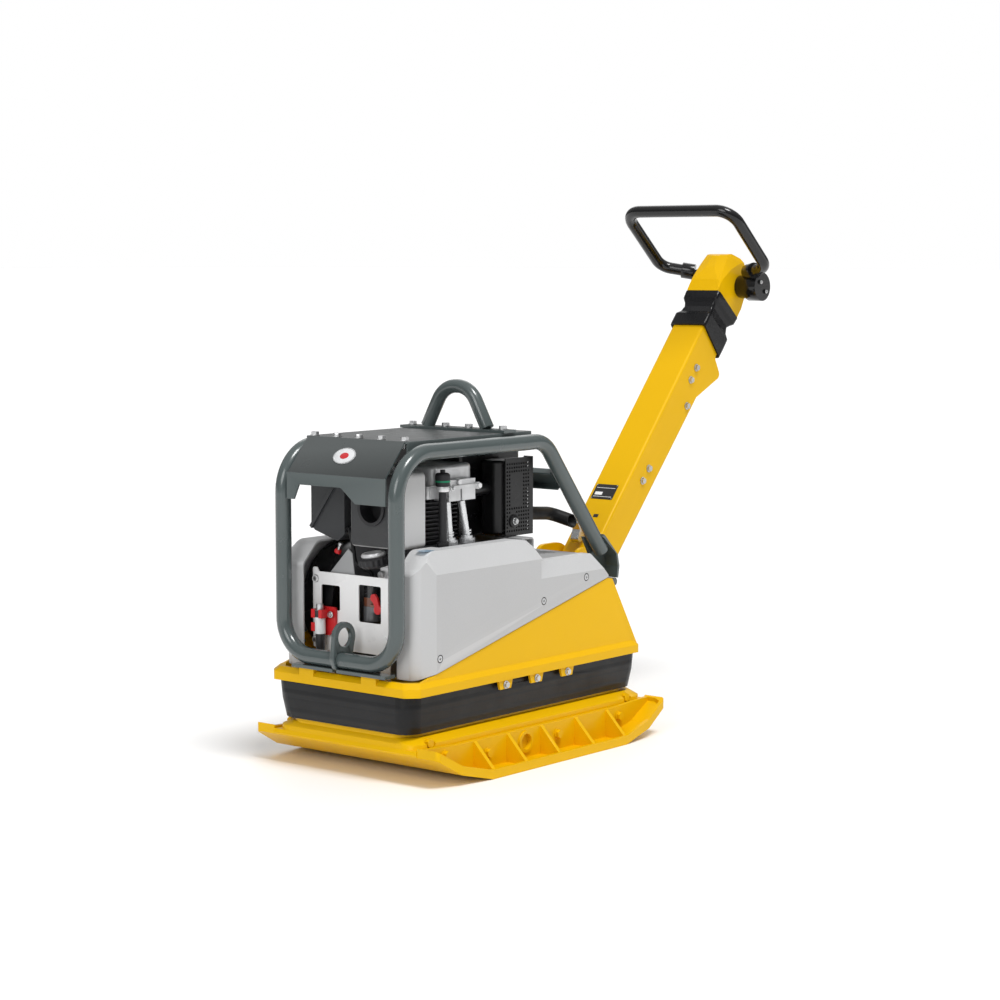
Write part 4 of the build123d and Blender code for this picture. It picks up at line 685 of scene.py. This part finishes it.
def visor_badge(finishes):
    """Plain oval badge on the visor's slope: white field, bright rim, plain red centre."""
    oval = facing_matrix(VISOR_BADGE, VISOR_NORMAL) @ Matrix.Diagonal((1.0, BADGE_SQUASH, 1.0, 1.0))
    field = disc_profile(BADGE_RADIUS, PROUD, 0.0018)
    rim = [(0.030, 0.0012), (BADGE_RADIUS, 0.0012), (0.0331, 0.0022), (0.0318, 0.0026), (0.030, 0.0022),
           (0.030, 0.0012)]
    centre = disc_profile(BADGE_CENTRE, 0.0012, 0.0024)
    turned_piece("badge_field", field, oval, finishes["badge_white"], "upper_mass", "white_plate")
    turned_piece("badge_rim", rim, oval, finishes["chromed"], "upper_mass", "chromed")
    turned_piece("badge_centre", centre, oval, finishes["badge_red"], "upper_mass", "red_plastic")


def on_pole(along, y):
    """Frame position of a point on the pole's front face, that far along the pole from its pin."""
    lean = math.radians(POLE_ANGLE)
    x = PIVOT_X - along * math.cos(lean) + POLE_FRONT * math.sin(lean)
    z = PIVOT_Z + along * math.sin(lean) + POLE_FRONT * math.cos(lean)
    return (x, y, z)


def pole_labels(finishes):
    """Blank name plate, and a small blank tag lower down, on the pole's front face."""
    lean = math.radians(POLE_ANGLE)
    outward = (math.sin(lean), 0, math.cos(lean))
    along = (-math.cos(lean), 0, math.sin(lean))
    plate = facing_matrix(on_pole(*NAME_PLATE_PLACE), outward, along)
    tag = facing_matrix(on_pole(*POLE_TAG_PLACE), outward, along)
    black = finishes["label_black"]
    slab_piece("name_plate", rounded_rectangle(*PLATE_SIZE), PROUD, PLATE_THICK, plate, black, "centre_pole",
               "black_plastic")
    bm = bmesh.new()
    for x, y, *size in PLATE_BARS:
        add_slab(bm, rounded_rectangle(*size), PLATE_THICK, BAR_TOP, plate @ Matrix.Translation((x, y, 0)))
    finish_piece("name_plate_fields", bm, finishes["white"], "centre_pole")
    bm = bmesh.new()
    x, y = PLATE_RIVET
    for sx, sy in ((-1, -1), (-1, 1), (1, -1), (1, 1)):
        rivet = plate @ Matrix.Translation((sx * x, sy * y, 0))
        add_lathe(bm, disc_profile(RIVET_RADIUS, 0.0008, 0.0018), rivet, segments=16)
    finish_piece("name_plate_rivets", bm, finishes["zinc"], "centre_pole")
    slab_piece("pole_tag", rounded_rectangle(*TAG_SIZE), PROUD, 0.0008, tag, black, "centre_pole",
               "black_plastic")


def injection_pump(finishes):
    """Ribbed cap with a bright clamp ring above a cast block, in front of the crankcase."""
    tilt = facing_matrix(PUMP_CAP, PUMP_CAP_AXIS, FORWARD)
    front = facing_matrix(PUMP_BLOCK, FORWARD)
    cap = [(0, 0), (0.030, 0), (0.038, 0.006), (0.039, 0.020), (0.034, 0.025), (0, 0.025)]
    clamp = [(0.020, 0.0252), (0.029, 0.0252), (0.030, 0.029), (0.027, 0.034), (0.020, 0.034),
             (0.020, 0.0252)]
    turned_piece("pump_cap", cap, tilt, finishes["black_plastic"], "upper_mass", "black_plastic",
                 segments=72, ribs=36, rib_depth=0.05)
    turned_piece("pump_clamp", clamp, tilt, finishes["alloy"], "upper_mass", "alloy")
    bm = bmesh.new()
    add_slab(bm, rounded_rectangle(*PUMP_BLOCK_SIZE), -0.016, 0.014, front, edge=0.003)
    for x, y, radius, height in PUMP_PORTS:
        port = front @ Matrix.Translation((x, y, 0))
        add_lathe(bm, disc_profile(radius, 0.010, height, edge=0.002), port)
    finish_piece("pump_block", bm, finishes["alloy"], "upper_mass")


def service_details(finishes):
    """Fasteners of the service plate and the hose clip, the drain tap and the grey gusset behind them."""
    zinc = finishes["zinc"]
    bolts("service_bolts", SERVICE_SCREWS, FORWARD, flats=0.0105, washer=0.0095, body="upper_mass",
          finish=zinc)
    bolts("clip_bolt", [CLIP_SCREW], FORWARD, flats=0.0105, washer=0.008, body="upper_mass", finish=zinc)
    gusset = facing_matrix((GUSSET_X, 0, 0), FORWARD)
    tap = facing_matrix(DRAIN_TAP, DRAIN_TAP_AXIS, FORWARD)
    stem = [(0, 0), (0.006, 0), (0.006, 0.007), (0.0045, 0.009), (0.0045, 0.018), (0, 0.018)]
    knob = [(0, 0.0181), (0.007, 0.0181), (0.009, 0.021), (0.009, 0.026), (0.007, 0.028), (0, 0.028)]
    slab_piece("front_gusset", GUSSET_OUTLINE, 0, GUSSET_THICK, gusset, finishes["grey_sheet"], "upper_mass",
               "alloy")
    turned_piece("drain_tap", stem, tap, zinc, "upper_mass", "zinc", segments=24)
    turned_piece("drain_tap_end", knob, tap, finishes["red"], "upper_mass", "red_plastic", segments=24)


def engine_details(finishes):
    """Rings of the oil filler, the side cover's sticker, and the fasteners of the guard and the tie bar."""
    seal = [(0.0152, 0), (0.0176, 0), (0.0178, 0.0019), (0.0176, 0.0036), (0.0152, 0.0036), (0.0152, 0)]
    neck = [(0.0132, 0), (0.0146, 0), (0.015, 0.0015), (0.015, 0.0105), (0.0146, 0.012), (0.0132, 0.012),
            (0.0132, 0)]
    boss = [(0, 0), (0.016, 0), (0.016, 0.003), (0.012, BOSS_HEIGHT), (0, BOSS_HEIGHT)]
    seal_place = Matrix.Translation((FILLER_X, FILLER_Y, SEAL_Z))
    neck_place = Matrix.Translation((FILLER_X, FILLER_Y, NECK_Z))
    sticker_place = facing_matrix(COVER_STICKER, UP, FORWARD)
    boss_place = facing_matrix(GUARD_BOSS, LEFT)
    boss_top = boss_place @ Vector((0, 0, BOSS_HEIGHT))
    zinc = finishes["zinc"]
    turned_piece("filler_seal", seal, seal_place, finishes["green"], "oil_cap", "black_plastic")
    turned_piece("filler_neck", neck, neck_place, finishes["alloy"], "upper_mass", "alloy")
    slab_piece("cover_sticker", rounded_rectangle(*STICKER_SIZE), PROUD, 0.0004, sticker_place,
               finishes["label_blue"], "upper_mass", "cover_grey", edge=0.0001)
    turned_piece("guard_boss", boss, boss_place, finishes["engine_black"], "upper_mass", "engine_black")
    bolts("guard_bolt", [boss_top], LEFT, flats=0.012, washer=0.009, body="upper_mass", finish=zinc)
    bolts("tie_bar_studs", [TIE_BAR_STUD], LEFT, flats=0.0085, washer=0.0085, body="upper_mass", finish=zinc)


def hub_screws(finishes):
    """Bright screws in the end of the handle's drum."""
    places = [(HANDLE_X + off, HUB_SCREW_SEAT, HANDLE_Z + off) for off in HUB_SCREW_OFFSETS]
    bolts("hub_screws", places, LEFT, flats=0.006, washer=0.0052, body="control_handle",
          finish=finishes["zinc"])


def cover_foot_bolts(finishes):
    """Bolts that hold the feet of the side covers down on the tray, just in front of the covers."""
    x, y = COVER_FOOT_BOLT
    places = [(x, side * y, TRAY_TOP) for side in (1, -1)]
    bolts("cover_foot_bolts", places, UP, flats=0.013, washer=0.010, body="upper_mass",
          finish=finishes["zinc"])


def cover_screw_shadow_rings(finishes):
    """Dark rings of painted shadow in the recesses round the cover screws."""
    for side, name in ((1, "screw_shadow_rings_left"), (-1, "screw_shadow_rings_right")):
        bm = bmesh.new()
        for x, z in COVER_SCREWS:
            seat = facing_matrix((x, side * COVER_SEAT, z), (0, side, 0))
            add_lathe(bm, SCREW_SHADOW_RING, seat)
        finish_piece(name, bm, finishes["black_plastic"], "upper_mass")


def make_small_pieces(finishes):
    """All pieces that are not in the CAD frame."""
    hub_screws(finishes)
    cover_foot_bolts(finishes)
    cover_screw_shadow_rings(finishes)
    visor_badge(finishes)
    pole_labels(finishes)
    injection_pump(finishes)
    service_details(finishes)
    engine_details(finishes)


make_camera()
make_studio()
make_floor()
finishes = make_materials()
dress_cad_nodes(finishes)
make_small_pieces(finishes)
